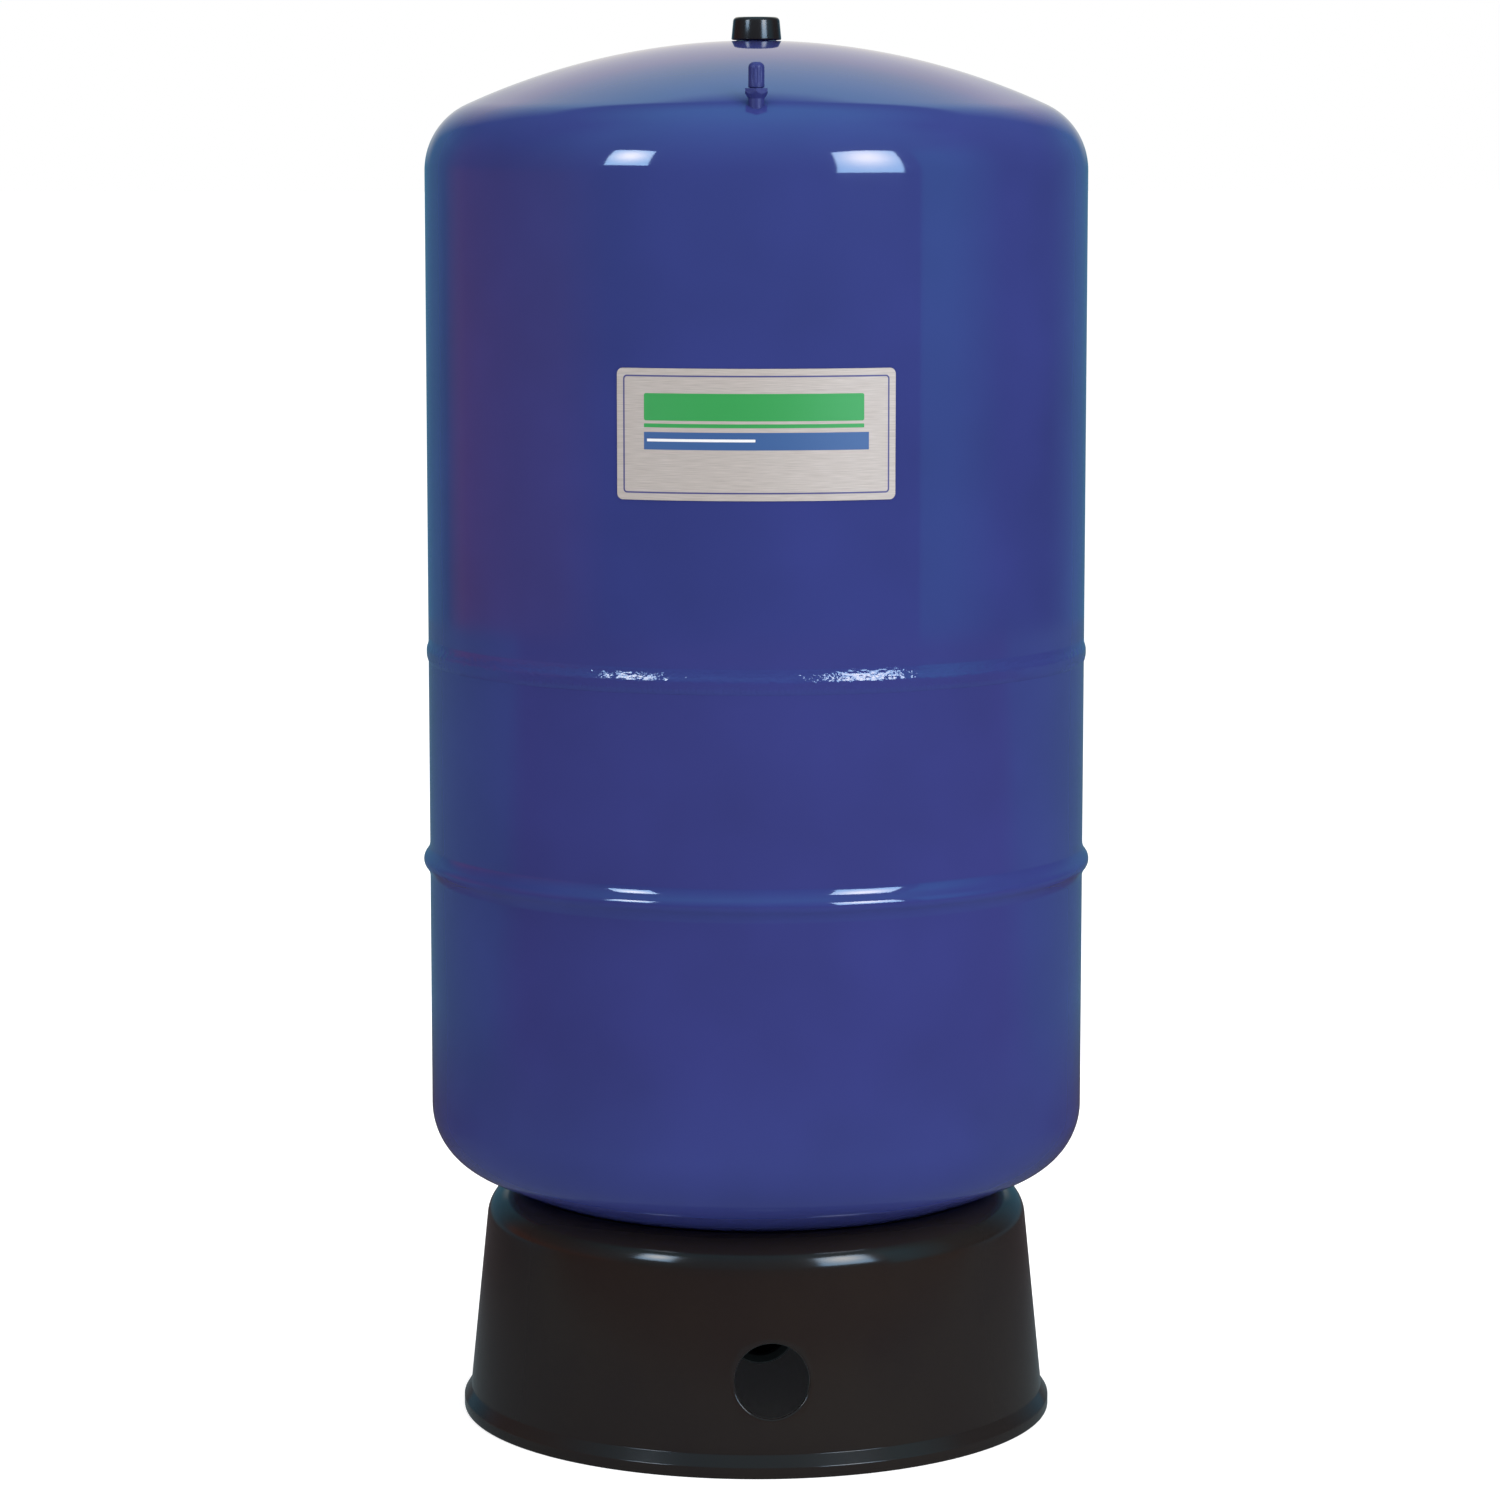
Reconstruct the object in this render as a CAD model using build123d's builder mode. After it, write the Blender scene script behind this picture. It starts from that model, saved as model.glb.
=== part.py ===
from build123d import *
import os
from dataclasses import dataclass
from math import asin, atan2, cos, degrees, pi, radians, sin, sqrt, tan

# Vertical well pressure tank, in millimetres, standing on the floor at z = 0.
# The pipe hole of the stand looks along -Y, and +Z is up the tank.

# Clearances between pieces
slip = 0.3        # between curved pieces that only rest on each other, and round pieces that lift off
seat = 0.1        # between curved pieces that are welded, bonded or screwed together

# Steel vessel
tank_radius = 195.25
sheet = 1.5
bottom_tangent = 186.9     # height at which the bottom head turns into the side wall
top_tangent = 742.9        # height at which the side wall turns into the top head
bottom_crown_radius = 398.0
bottom_knuckle_radius = 40.3
top_crown_radius = 409.0
top_knuckle_radius = 42.5

# Lap joint that closes the vessel: the upper shell is belled over the lower one
seam_height = 459.0        # lower edge of the upper shell
bell_rise = 1.1
bell_blend = 6.0
bell_lip = 1.5
lap_length = 14.0
weld_leg = 4.8
weld_fullness = 0.7        # share of the bell's rise that the middle of the bead stands out

# Swaged groove that holds the rim of the diaphragm
swage_height = 335.1
swage_half = 10.4
swage_rise = 3.8
swage_crest_radius = 5.5

# Water side
liner_wall = 1.2
diaphragm_wall = 2.5
rim_margin = 2.5           # from the end of the swage to the end of the moulded rim
clamp_wall = 2.0
clamp_flange = 5.0
clamp_margin = 2.0
clamp_bend_radius = 3.0

# Water connection under the bottom head
port_land_radius = 34.0
neck_radius = 16.6
neck_bore_radius = 12.5
flange_radius = 30.0
flange_thickness = 4.0
gasket_section = 2.8
gasket_radius = 22.0
port_nut_flats = 48.0
port_nut_height = 8.0
pipe_height = 55.2         # centre of the pipe hole and of the elbow's mouth above the floor
pipe_bore_radius = 15.1    # tapping of a one inch pipe thread
pipe_thread_length = 20.0
elbow_top_gap = 3.0
elbow_reach = 46.0
elbow_bend_radius = 24.0
elbow_body_radius = 18.5
elbow_collar_radius = 21.5
elbow_collar_length = 17.0
elbow_socket_depth = 19.0
elbow_edge = 1.2

# Moulded stand
stand_foot_radius = 174.3  # where the tapered side would meet the floor
stand_taper = 5.75
stand_wall = 3.2
stand_shoulder_radius = 20.0
stand_seat_inner_radius = 118.0
stand_ledge_top = 13.2
stand_ledge_bottom = 6.6
stand_rim_radius = 177.2
stand_ledge_fillet = 0.8
stand_rim_edge = 1.2
stand_foot_edge = 1.0
pipe_hole_radius = 21.6
pipe_hole_edge = 1.2

# Rating plate, turned a little from the pipe hole
front_turn = -3.1
plate_height = 599.2
plate_tall = 73.1
plate_arc = 158.8
plate_thickness = 0.4
plate_corner = 3.4

# Top connection under the black cap
cap_bottom_radius = 14.65
cap_top_radius = 13.5
cap_rise = 13.65           # top of the cap above the crown of the vessel
cap_wall = 1.7
cap_edge = 2.6
cap_rim_round = 0.4
cap_socket_wall = 1.4
cap_socket_clear = 1.0     # between the cap's inner socket and the weld of the boss
boss_radius = 9.5
boss_bore_radius = 6.9
boss_weld_leg = 2.2
boss_edge = 0.8
plug_length = 9.0
plug_sink = 0.8
plug_edge = 0.8
plug_socket_flats = 6.35
plug_socket_depth = 5.5

# Air charging valve on the front of the top head
valve_inset = 23.25        # from the side wall in to the valve's axis
valve_cap_rise = 23.2      # top of the valve cap above the head
valve_cap_radius = 4.5
valve_cap_length = 14.2
valve_cap_roof = 2.0
valve_cap_round = 3.3
valve_cap_bore = 3.95
valve_cap_bore_round = 1.0
valve_cap_gap = 0.3
valve_seal_thickness = 0.8
stem_thread_radius = 3.7
stem_thread_edge = 0.7
stem_radius = 4.5
stem_hex_flats = 12.4
stem_hex_straight = 1.6
stem_hex_cone = 4.0
stem_depth = 9.8           # foot of the stem below the outside of the head
core_chamber_radius = 2.65
core_chamber_depth = 8.0
core_barrel_bore = 2.05
core_clearance = 0.2
core_fit = 0.05            # between the smallest parts of the valve core
core_head_radius = 2.4
core_head_length = 4.2
core_head_sink = 0.6
core_head_edge = 0.4
core_barrel_radius = 1.75
core_barrel_length = 18.0
core_pin_radius = 0.6
core_pin_bore = 0.85
core_pin_sink = 0.3
core_travel = 1.0
core_pocket_radius = 1.35
core_pocket_length = 10.5
core_ledge = 1.0
core_disc_radius = 1.6
core_disc_thickness = 0.8
core_disc_gap = 0.1
core_collar_thickness = 0.6
spring_wire_radius = 0.12
spring_turns = 5


@dataclass(frozen=True)
class Head:
    """Torispherical end of the vessel: a crown arc that runs into a knuckle arc and the wall."""

    tangent: float
    crown_radius: float
    knuckle_radius: float
    way: int

    @property
    def crown_centre(self):
        long_side = self.crown_radius - self.knuckle_radius
        short_side = tank_radius - self.knuckle_radius
        return self.tangent - self.way * sqrt(long_side**2 - short_side**2)

    @property
    def knuckle_centre(self):
        return tank_radius - self.knuckle_radius

    @property
    def join_angle(self):
        return asin(self.knuckle_centre / (self.crown_radius - self.knuckle_radius))

    @property
    def apex(self):
        return self.height_at(0)

    def crown_point(self, angle, inset=0.0):
        radius = self.crown_radius - inset
        return (radius * sin(angle), self.crown_centre + self.way * radius * cos(angle))

    def knuckle_point(self, angle, inset=0.0):
        radius = self.knuckle_radius - inset
        return (self.knuckle_centre + radius * sin(angle), self.tangent + self.way * radius * cos(angle))

    def height_at(self, distance, inset=0.0):
        """Height of the surface, inset from the outside of the steel, at a distance from the axis."""
        if distance <= self.crown_point(self.join_angle, inset)[0]:
            return self.crown_centre + self.way * sqrt((self.crown_radius - inset) ** 2 - distance**2)
        reach = distance - self.knuckle_centre
        return self.tangent + self.way * sqrt((self.knuckle_radius - inset) ** 2 - reach**2)

    def distance_at(self, height, inset=0.0):
        """Distance from the axis at which the crown has the given height."""
        return sqrt((self.crown_radius - inset) ** 2 - (height - self.crown_centre) ** 2)

    def draw(self, start, inset=0.0):
        """Draw the crown and knuckle arcs from a distance near the axis out to the side wall."""
        first = asin(start / (self.crown_radius - inset))
        crown_angles = (first, (first + self.join_angle) / 2, self.join_angle)
        ThreePointArc(*[self.crown_point(angle, inset) for angle in crown_angles])
        knuckle_angles = (self.join_angle, (self.join_angle + pi / 2) / 2, pi / 2)
        ThreePointArc(*[self.knuckle_point(angle, inset) for angle in knuckle_angles])

    def draw_from_land(self, inner, land, inset=0.0):
        """Draw a flat land from the inner distance to the crown, then the arcs out to the wall."""
        meet = self.distance_at(land, inset)
        Line((inner, land), (meet, land))
        self.draw(meet, inset)


def s_bend(start, rise, run, first_share):
    """Draw two tangent arcs that shift a vertical line sideways by rise over the height run."""
    turn = 2 * atan2(abs(rise), abs(run))
    radii = abs(run) / sin(turn)
    out = 1 if rise > 0 else -1
    up = 1 if run > 0 else -1
    first = radii * first_share
    second = radii - first
    half = turn / 2
    x, z = start
    middle = (x + out * first * (1 - cos(turn)), z + up * first * sin(turn))
    ThreePointArc(start, (x + out * first * (1 - cos(half)), z + up * first * sin(half)), middle)
    end = (x + rise, z + run)
    near_end = (end[0] - out * second * (1 - cos(half)), end[1] - up * second * sin(half))
    ThreePointArc(middle, near_end, end)
    return end


def draw_swage(inset=0.0):
    """Draw the rolled groove from below to above, inset from the outside of the steel."""
    wall = tank_radius - inset
    turn = 2 * atan2(swage_rise, swage_half)
    radii = swage_half / sin(turn)
    crest_share = (swage_crest_radius - inset) / radii
    crest = s_bend((wall, swage_height - swage_half), swage_rise, swage_half, 1 - crest_share)
    s_bend(crest, -swage_rise, swage_half, crest_share)


bottom_head = Head(bottom_tangent, bottom_crown_radius, bottom_knuckle_radius, -1)
top_head = Head(top_tangent, top_crown_radius, top_knuckle_radius, 1)


def axial_plane(angle):
    """Upright plane through the tank's axis whose own x runs outwards at an angle, in degrees."""
    turn = radians(angle)
    return Plane(origin=(0, 0, 0), x_dir=(cos(turn), sin(turn), 0), z_dir=(sin(turn), -cos(turn), 0))


# Places worked out from the driving sizes
front_angle = front_turn - 90
lap_radius = tank_radius - sheet - slip
joggle_end = seam_height - seat

port_land = bottom_head.height_at(port_land_radius)
liner_inset = sheet + slip
liner_land = port_land + liner_inset
flange_bottom = liner_land + liner_wall + slip
flange_top = flange_bottom + flange_thickness
diaphragm_inset = liner_inset + liner_wall + slip
diaphragm_land = flange_top + slip
rim_bottom = swage_height - swage_half - rim_margin
rim_top = swage_height + swage_half + rim_margin
clamp_radius = tank_radius - diaphragm_inset - diaphragm_wall - slip

elbow_top = port_land - port_nut_height - elbow_top_gap
neck_bottom = elbow_top - elbow_socket_depth + slip

# The shoulder of the stand is tangent to the head and to the tapered side
taper = radians(stand_taper)
taper_slope = tan(taper)
seat_reach = bottom_crown_radius + slip
shoulder_reach = seat_reach + stand_shoulder_radius
shoulder_foot = stand_foot_radius - stand_shoulder_radius / cos(taper)
lead = shoulder_foot * taper_slope + bottom_head.crown_centre
rest = shoulder_foot**2 + bottom_head.crown_centre**2 - shoulder_reach**2
shoulder_z = (lead - sqrt(lead**2 - (1 + taper_slope**2) * rest)) / (1 + taper_slope**2)
shoulder_x = shoulder_foot - taper_slope * shoulder_z
seat_start = asin(stand_seat_inner_radius / seat_reach)
seat_end = asin(shoulder_x / shoulder_reach)

crown = top_head.apex
cap_top = crown + cap_rise
boss_top = cap_top - cap_wall - slip

valve_distance = tank_radius - valve_inset
valve_height = top_head.height_at(valve_distance)
valve_plane = axial_plane(front_angle)
valve_spot = valve_plane.x_dir * valve_distance
valve_plane = Plane(origin=valve_spot, x_dir=valve_plane.x_dir, z_dir=valve_plane.z_dir)
valve_axis = Axis(valve_spot, (0, 0, 1))
valve_cap_top = valve_height + valve_cap_rise
valve_cap_bottom = valve_cap_top - valve_cap_length
valve_roof = valve_cap_top - valve_cap_roof
stem_top = valve_roof - valve_seal_thickness - slip
stem_hex_top = valve_cap_bottom - valve_cap_gap
stem_hex_corner = stem_hex_flats / 2 / cos(radians(30))
stem_foot = valve_height - stem_depth
core_top = stem_top - core_head_sink
core_bottom = core_top - core_barrel_length
core_shoulder = stem_top - core_chamber_depth
pocket_bottom = core_bottom + core_ledge
pocket_top = pocket_bottom + core_pocket_length
pin_top = stem_top - core_pin_sink
disc_top = core_bottom - core_disc_gap
collar_top = pocket_top - core_travel

# Upper shell: drawn head, straight wall and a belled lower edge
with BuildPart() as upper_shell:
    with BuildSketch(Plane.XZ):
        with BuildLine():
            top_head.draw(boss_bore_radius)
            Line((tank_radius, top_tangent), (tank_radius, seam_height + bell_lip + bell_blend))
            lip = s_bend((tank_radius, seam_height + bell_lip + bell_blend), bell_rise, -bell_blend, 0.5)
            Line(lip, (lip[0], seam_height))
            offset(amount=sheet, side=Side.RIGHT)
        make_face()
    revolve(axis=Axis.Z)
    with BuildSketch(Plane.XY.offset(stem_foot)):
        with Locations((valve_spot.X, valve_spot.Y)):
            Circle(stem_radius + seat)
    extrude(until=Until.LAST, mode=Mode.SUBTRACT)

# Lower shell: drawn head with a flat land for the pipe connection, swaged groove and joggled top edge
with BuildPart() as lower_shell:
    port_hole = neck_radius + seat
    lap_top = seam_height + lap_length
    with BuildSketch(Plane.XZ):
        with BuildLine():
            for inset in (0, sheet):
                wall = tank_radius - inset
                bottom_head.draw_from_land(port_hole, port_land + inset, inset)
                Line((wall, bottom_tangent), (wall, swage_height - swage_half))
                draw_swage(inset)
                Polyline(
                    (wall, swage_height + swage_half),
                    (wall, seam_height - weld_leg),
                    (lap_radius - inset, joggle_end),
                    (lap_radius - inset, lap_top),
                )
            Line((port_hole, port_land), (port_hole, port_land + sheet))
            Line((lap_radius, lap_top), (lap_radius - sheet, lap_top))
        make_face()
    revolve(axis=Axis.Z)

# Weld bead under the belled edge
with BuildPart() as girth_weld:
    with BuildSketch(Plane.XZ):
        with BuildLine():
            toe = (tank_radius + seat, seam_height - weld_leg)
            root = (lap_radius + seat, joggle_end)
            edge = (tank_radius + bell_rise, seam_height)
            Polyline(toe, root, (root[0], seam_height), edge)
            ThreePointArc(edge, (tank_radius + bell_rise * weld_fullness, seam_height - weld_leg / 2), toe)
        make_face()
    revolve(axis=Axis.Z)

# Liner that keeps the water off the steel of the lower shell
with BuildPart() as water_liner:
    liner_hole = neck_radius + slip
    liner_top = rim_bottom - slip
    liner_radius = tank_radius - liner_inset
    with BuildSketch(Plane.XZ):
        with BuildLine():
            for depth in (0, liner_wall):
                bottom_head.draw_from_land(liner_hole, liner_land + depth, liner_inset + depth)
                Line((liner_radius - depth, bottom_tangent), (liner_radius - depth, liner_top))
            Line((liner_hole, liner_land), (liner_hole, liner_land + liner_wall))
            Line((liner_radius, liner_top), (liner_radius - liner_wall, liner_top))
        make_face()
    revolve(axis=Axis.Z)

# Diaphragm, pressed down on the liner by the air charge, with a thick rim in the swaged groove
with BuildPart() as diaphragm:
    with BuildSketch(Plane.XZ):
        with BuildLine():
            skin_radius = tank_radius - diaphragm_inset
            rim_radius = tank_radius - liner_inset
            bottom_head.draw_from_land(0, diaphragm_land, diaphragm_inset)
            Polyline(
                (skin_radius, bottom_tangent),
                (skin_radius, rim_bottom),
                (rim_radius, rim_bottom),
                (rim_radius, swage_height - swage_half),
            )
            draw_swage(liner_inset)
            Polyline(
                (rim_radius, swage_height + swage_half),
                (rim_radius, rim_top),
                (skin_radius - diaphragm_wall, rim_top),
                (skin_radius - diaphragm_wall, bottom_tangent),
            )
            bottom_head.draw_from_land(0, diaphragm_land + diaphragm_wall, diaphragm_inset + diaphragm_wall)
            Line((0, diaphragm_land), (0, diaphragm_land + diaphragm_wall))
        make_face()
    revolve(axis=Axis.Z)

# Hoop inside the swaged groove that clamps the rim of the diaphragm, with turned-in edges
with BuildPart() as clamp_ring:
    with BuildSketch(Plane.XZ):
        with BuildLine():
            FilletPolyline(
                (clamp_radius - clamp_flange, rim_bottom - clamp_margin),
                (clamp_radius, rim_bottom - clamp_margin),
                (clamp_radius, rim_top + clamp_margin),
                (clamp_radius - clamp_flange, rim_top + clamp_margin),
                radius=clamp_bend_radius,
            )
            offset(amount=clamp_wall, side=Side.LEFT)
        make_face()
    revolve(axis=Axis.Z)

# Nozzle: a flange inside the liner with a neck down through the bottom head
with BuildPart() as port_nozzle:
    with BuildSketch(Plane.XY.offset(flange_bottom)):
        Circle(flange_radius)
    extrude(amount=flange_thickness)
    with BuildSketch(Plane.XY.offset(flange_bottom)):
        Circle(neck_radius)
    extrude(amount=neck_bottom - flange_bottom)
    with Locations((0, 0, flange_top)):
        Hole(neck_bore_radius)
    groove_depth = gasket_section + 2 * seat - slip
    with BuildSketch(Plane.XY.offset(flange_bottom)):
        Circle(gasket_radius + gasket_section / 2 + seat)
        Circle(gasket_radius - gasket_section / 2 - seat, mode=Mode.SUBTRACT)
    extrude(amount=groove_depth, mode=Mode.SUBTRACT)

# Ring gasket in the groove of the flange
with BuildPart() as port_gasket:
    with BuildSketch(Plane.XZ):
        with Locations((gasket_radius, liner_land + liner_wall + seat + gasket_section / 2)):
            Circle(gasket_section / 2)
    revolve(axis=Axis.Z)

# Nut that draws the nozzle down on the head
with BuildPart() as port_nut:
    with BuildSketch(Plane.XY.offset(port_land - port_nut_height)):
        RegularPolygon(port_nut_flats / 2, 6, major_radius=False)
        Circle(neck_radius + seat, mode=Mode.SUBTRACT)
    extrude(amount=port_nut_height)
    with BuildSketch(Plane.XZ):
        with BuildLine():
            corner = port_nut_flats / 2 / cos(radians(30))
            slope = (corner - port_nut_flats / 2) * tan(radians(30))
            Polyline(
                (0, port_land),
                (corner, port_land),
                (corner, port_land - port_nut_height + slope),
                (port_nut_flats / 2, port_land - port_nut_height),
                (0, port_land - port_nut_height),
                close=True,
            )
        make_face()
    revolve(axis=Axis.Z, mode=Mode.INTERSECT)

# Elbow from the neck to the pipe thread that looks at the pipe hole
with BuildPart() as water_elbow:
    with BuildLine(Plane.YZ) as run:
        FilletPolyline(
            (0, elbow_top), (0, pipe_height), (-elbow_reach, pipe_height), radius=elbow_bend_radius
        )
    top_face = Plane.XY.offset(elbow_top)
    mouth_face = Plane.XZ.offset(elbow_reach)
    mouth_spot = (0, pipe_height)
    with BuildSketch(top_face):
        Circle(elbow_body_radius)
    sweep(path=run.line)
    with BuildSketch(top_face):
        Circle(elbow_collar_radius)
    extrude(amount=-elbow_collar_length)
    with BuildSketch(mouth_face):
        with Locations(mouth_spot):
            Circle(elbow_collar_radius)
    extrude(amount=-elbow_collar_length)
    chamfer(water_elbow.edges().filter_by(GeomType.CIRCLE).group_by(Edge.length)[-1], elbow_edge)
    with BuildSketch(top_face):
        Circle(neck_bore_radius)
    sweep(path=run.line, mode=Mode.SUBTRACT)
    with Locations((0, 0, elbow_top)):
        Hole(neck_radius + seat, elbow_socket_depth)
    with Locations(mouth_face):
        with Locations(mouth_spot):
            CounterSinkHole(pipe_bore_radius, pipe_bore_radius + elbow_edge, pipe_thread_length, 90)

# Moulded stand: seat ring under the head, rolled shoulder, tapered wall, and a ledge and rim at the foot
with BuildPart() as base_stand:
    with BuildSketch(Plane.XZ):
        with BuildLine():
            seat_angles = (seat_start, (seat_start + seat_end) / 2, seat_end)
            ThreePointArc(*[bottom_head.crown_point(angle, -slip) for angle in seat_angles])
            shoulder_turn = 90 + degrees(seat_end)
            shoulder = CenterArc(
                (shoulder_x, shoulder_z), stand_shoulder_radius, shoulder_turn, stand_taper - shoulder_turn
            )
            ledge_start = (stand_foot_radius - stand_ledge_top * taper_slope, stand_ledge_top)
            ledge_end = (stand_rim_radius, stand_ledge_bottom)
            Polyline(shoulder @ 1, ledge_start, ledge_end, (stand_rim_radius, 0))
            offset(amount=stand_wall, side=Side.RIGHT)
        make_face()
    revolve(axis=Axis.Z)
    fillet(base_stand.edges().filter_by(GeomType.CIRCLE).group_by(Axis.Z)[0], stand_foot_edge)
    for corner, rounding in ((ledge_start, stand_ledge_fillet), (ledge_end, stand_rim_edge)):
        ring = base_stand.edges().filter_by(GeomType.CIRCLE).filter_by(
            lambda edge: abs(edge.radius - corner[0]) < seat and abs(edge.center().Z - corner[1]) < seat
        )
        fillet(ring, rounding)
    with BuildSketch(Plane.XZ):
        with Locations((0, pipe_height)):
            Circle(pipe_hole_radius)
    extrude(amount=2 * stand_foot_radius, mode=Mode.SUBTRACT)
    hole_wall = base_stand.faces().filter_by(GeomType.CYLINDER).filter_by(
        lambda wall: abs(wall.radius - pipe_hole_radius) < seat
    )
    fillet(hole_wall.edges(), pipe_hole_edge)

# Rating plate wrapped on the upper shell
with BuildPart() as rating_plate:
    plate_angle = degrees(plate_arc / tank_radius)
    with BuildSketch(axial_plane(front_angle - plate_angle / 2)):
        with Locations((tank_radius + seat + plate_thickness / 2, plate_height)):
            Rectangle(plate_thickness, plate_tall)
    revolve(axis=Axis.Z, revolution_arc=plate_angle)
    fillet(rating_plate.edges().group_by(Edge.length)[0], plate_corner)

# Welded boss at the top of the crown
with BuildPart() as top_boss:
    with BuildSketch(Plane.XY.offset(crown)):
        Circle(boss_radius)
        Circle(boss_bore_radius, mode=Mode.SUBTRACT)
    extrude(amount=boss_top - crown)
    chamfer(top_boss.edges().group_by(Axis.Z)[-1], boss_edge)

# Fillet weld around the boss
with BuildPart() as boss_weld:
    with BuildSketch(Plane.XZ):
        with BuildLine():
            weld_in = boss_radius + seat
            Polyline(
                (weld_in + boss_weld_leg, top_head.height_at(weld_in + boss_weld_leg) + seat),
                (weld_in, top_head.height_at(weld_in) + seat),
                (weld_in, crown + boss_weld_leg),
                close=True,
            )
        make_face()
    revolve(axis=Axis.Z)

# Pipe plug that closes the boss, with a hexagon socket
with BuildPart() as top_plug:
    with BuildSketch(Plane.XY.offset(boss_top - plug_sink)):
        Circle(boss_bore_radius - seat)
    extrude(amount=-plug_length)
    chamfer(top_plug.edges().group_by(Axis.Z)[0], plug_edge)
    with BuildSketch(Plane.XY.offset(boss_top - plug_sink)):
        RegularPolygon(plug_socket_flats / 2, 6, major_radius=False)
    extrude(amount=-plug_socket_depth, mode=Mode.SUBTRACT)

# Black cap that pushes over the boss: tapered skirt with an inner socket
with BuildPart() as top_cap:
    with BuildSketch(Plane.XZ):
        with BuildLine():
            cap_rim = crown + slip
            FilletPolyline(
                (0, cap_top), (cap_top_radius, cap_top), (cap_bottom_radius, cap_rim), radius=cap_edge
            )
            offset(amount=cap_wall, side=Side.RIGHT)
        make_face()
    revolve(axis=Axis.Z)
    fillet(top_cap.edges().group_by(Axis.Z)[0], cap_rim_round)
    cap_roof = cap_top - cap_wall
    with BuildSketch(Plane.XY.offset(cap_roof)):
        Circle(boss_radius + slip + cap_socket_wall)
        Circle(boss_radius + slip, mode=Mode.SUBTRACT)
    extrude(amount=crown + boss_weld_leg + cap_socket_clear - cap_roof)

# Valve stem: hexagon with a coned underside on a plain foot through the head, threaded neck above
with BuildPart() as valve_stem:
    with BuildSketch(Plane(origin=valve_spot + Vector(0, 0, stem_hex_top), x_dir=valve_plane.x_dir)):
        RegularPolygon(stem_hex_flats / 2, 6, major_radius=False)
    extrude(amount=-stem_hex_straight - stem_hex_cone)
    with BuildSketch(valve_plane):
        with BuildLine():
            Polyline(
                (0, stem_hex_top),
                (stem_hex_corner, stem_hex_top),
                (stem_hex_corner, stem_hex_top - stem_hex_straight),
                (stem_radius, stem_hex_top - stem_hex_straight - stem_hex_cone),
                (0, stem_hex_top - stem_hex_straight - stem_hex_cone),
                close=True,
            )
        make_face()
    revolve(axis=valve_axis, mode=Mode.INTERSECT)
    with BuildSketch(valve_plane):
        with BuildLine():
            Polyline(
                (0, stem_foot),
                (stem_radius, stem_foot),
                (stem_radius, stem_hex_top - stem_hex_straight),
                (stem_thread_radius, stem_hex_top - stem_hex_straight),
                (stem_thread_radius, stem_top - stem_thread_edge),
                (stem_thread_radius - stem_thread_edge, stem_top),
                (0, stem_top),
                close=True,
            )
        make_face()
    revolve(axis=valve_axis)
    with BuildSketch(valve_plane):
        with BuildLine():
            shoulder_drop = core_chamber_radius - core_barrel_bore
            bore_end = core_bottom - core_travel - 2 * core_disc_thickness - core_clearance
            Polyline(
                (0, stem_top),
                (core_chamber_radius, stem_top),
                (core_chamber_radius, core_shoulder),
                (core_barrel_bore, core_shoulder - shoulder_drop),
                (core_barrel_bore, bore_end),
                (core_disc_radius, bore_end),
                (core_disc_radius, stem_foot),
                (0, stem_foot),
                close=True,
            )
        make_face()
    revolve(axis=valve_axis, mode=Mode.SUBTRACT)

# Valve core: threaded head, barrel, and a pocket for the spring
with BuildPart() as core_body:
    with BuildSketch(valve_plane):
        with BuildLine():
            head_bottom = core_top - core_head_length
            Polyline(
                (core_pin_bore, core_top),
                (core_head_radius, core_top),
                (core_head_radius, head_bottom),
                (core_barrel_radius, head_bottom - core_head_edge),
                (core_barrel_radius, core_bottom),
                (core_pin_bore, core_bottom),
                (core_pin_bore, pocket_bottom),
                (core_pocket_radius, pocket_bottom),
                (core_pocket_radius, pocket_top),
                (core_pin_bore, pocket_top),
                close=True,
            )
        make_face()
    revolve(axis=valve_axis)

# Ring that seals the barrel on the shoulder of the stem's bore
with BuildPart() as core_seal:
    with BuildSketch(valve_plane):
        with BuildLine():
            seal_in = core_barrel_radius + core_fit
            seal_out = core_chamber_radius - core_fit
            seal_top = head_bottom - core_head_edge - core_clearance
            Polyline(
                (seal_in, seal_top),
                (seal_out, seal_top),
                (seal_out, core_shoulder + seat),
                (core_barrel_bore, core_shoulder - shoulder_drop + seat),
                (seal_in, core_shoulder - shoulder_drop + seat),
                close=True,
            )
        make_face()
    revolve(axis=valve_axis)

# Pin that is pressed to let air in or out, with the spring's collar and the closing disc
with BuildPart() as core_pin:
    with BuildSketch(valve_plane):
        with BuildLine():
            disc_bottom = disc_top - 2 * core_disc_thickness
            Polyline(
                (0, pin_top),
                (core_pin_radius, pin_top),
                (core_pin_radius, collar_top),
                (core_pocket_radius - core_clearance, collar_top),
                (core_pocket_radius - core_clearance, collar_top - core_collar_thickness),
                (core_pin_radius, collar_top - core_collar_thickness),
                (core_pin_radius, disc_top - core_disc_thickness),
                (core_disc_radius, disc_top - core_disc_thickness),
                (core_disc_radius, disc_bottom),
                (0, disc_bottom),
                close=True,
            )
        make_face()
    revolve(axis=valve_axis)

# Rubber washer that the disc presses on the end of the barrel
with BuildPart() as pin_seal:
    with BuildSketch(Plane.XY.offset(disc_top - core_disc_thickness)):
        with Locations((valve_spot.X, valve_spot.Y)):
            Circle(core_disc_radius)
            Circle(core_pin_radius, mode=Mode.SUBTRACT)
    extrude(amount=core_disc_thickness)

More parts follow.
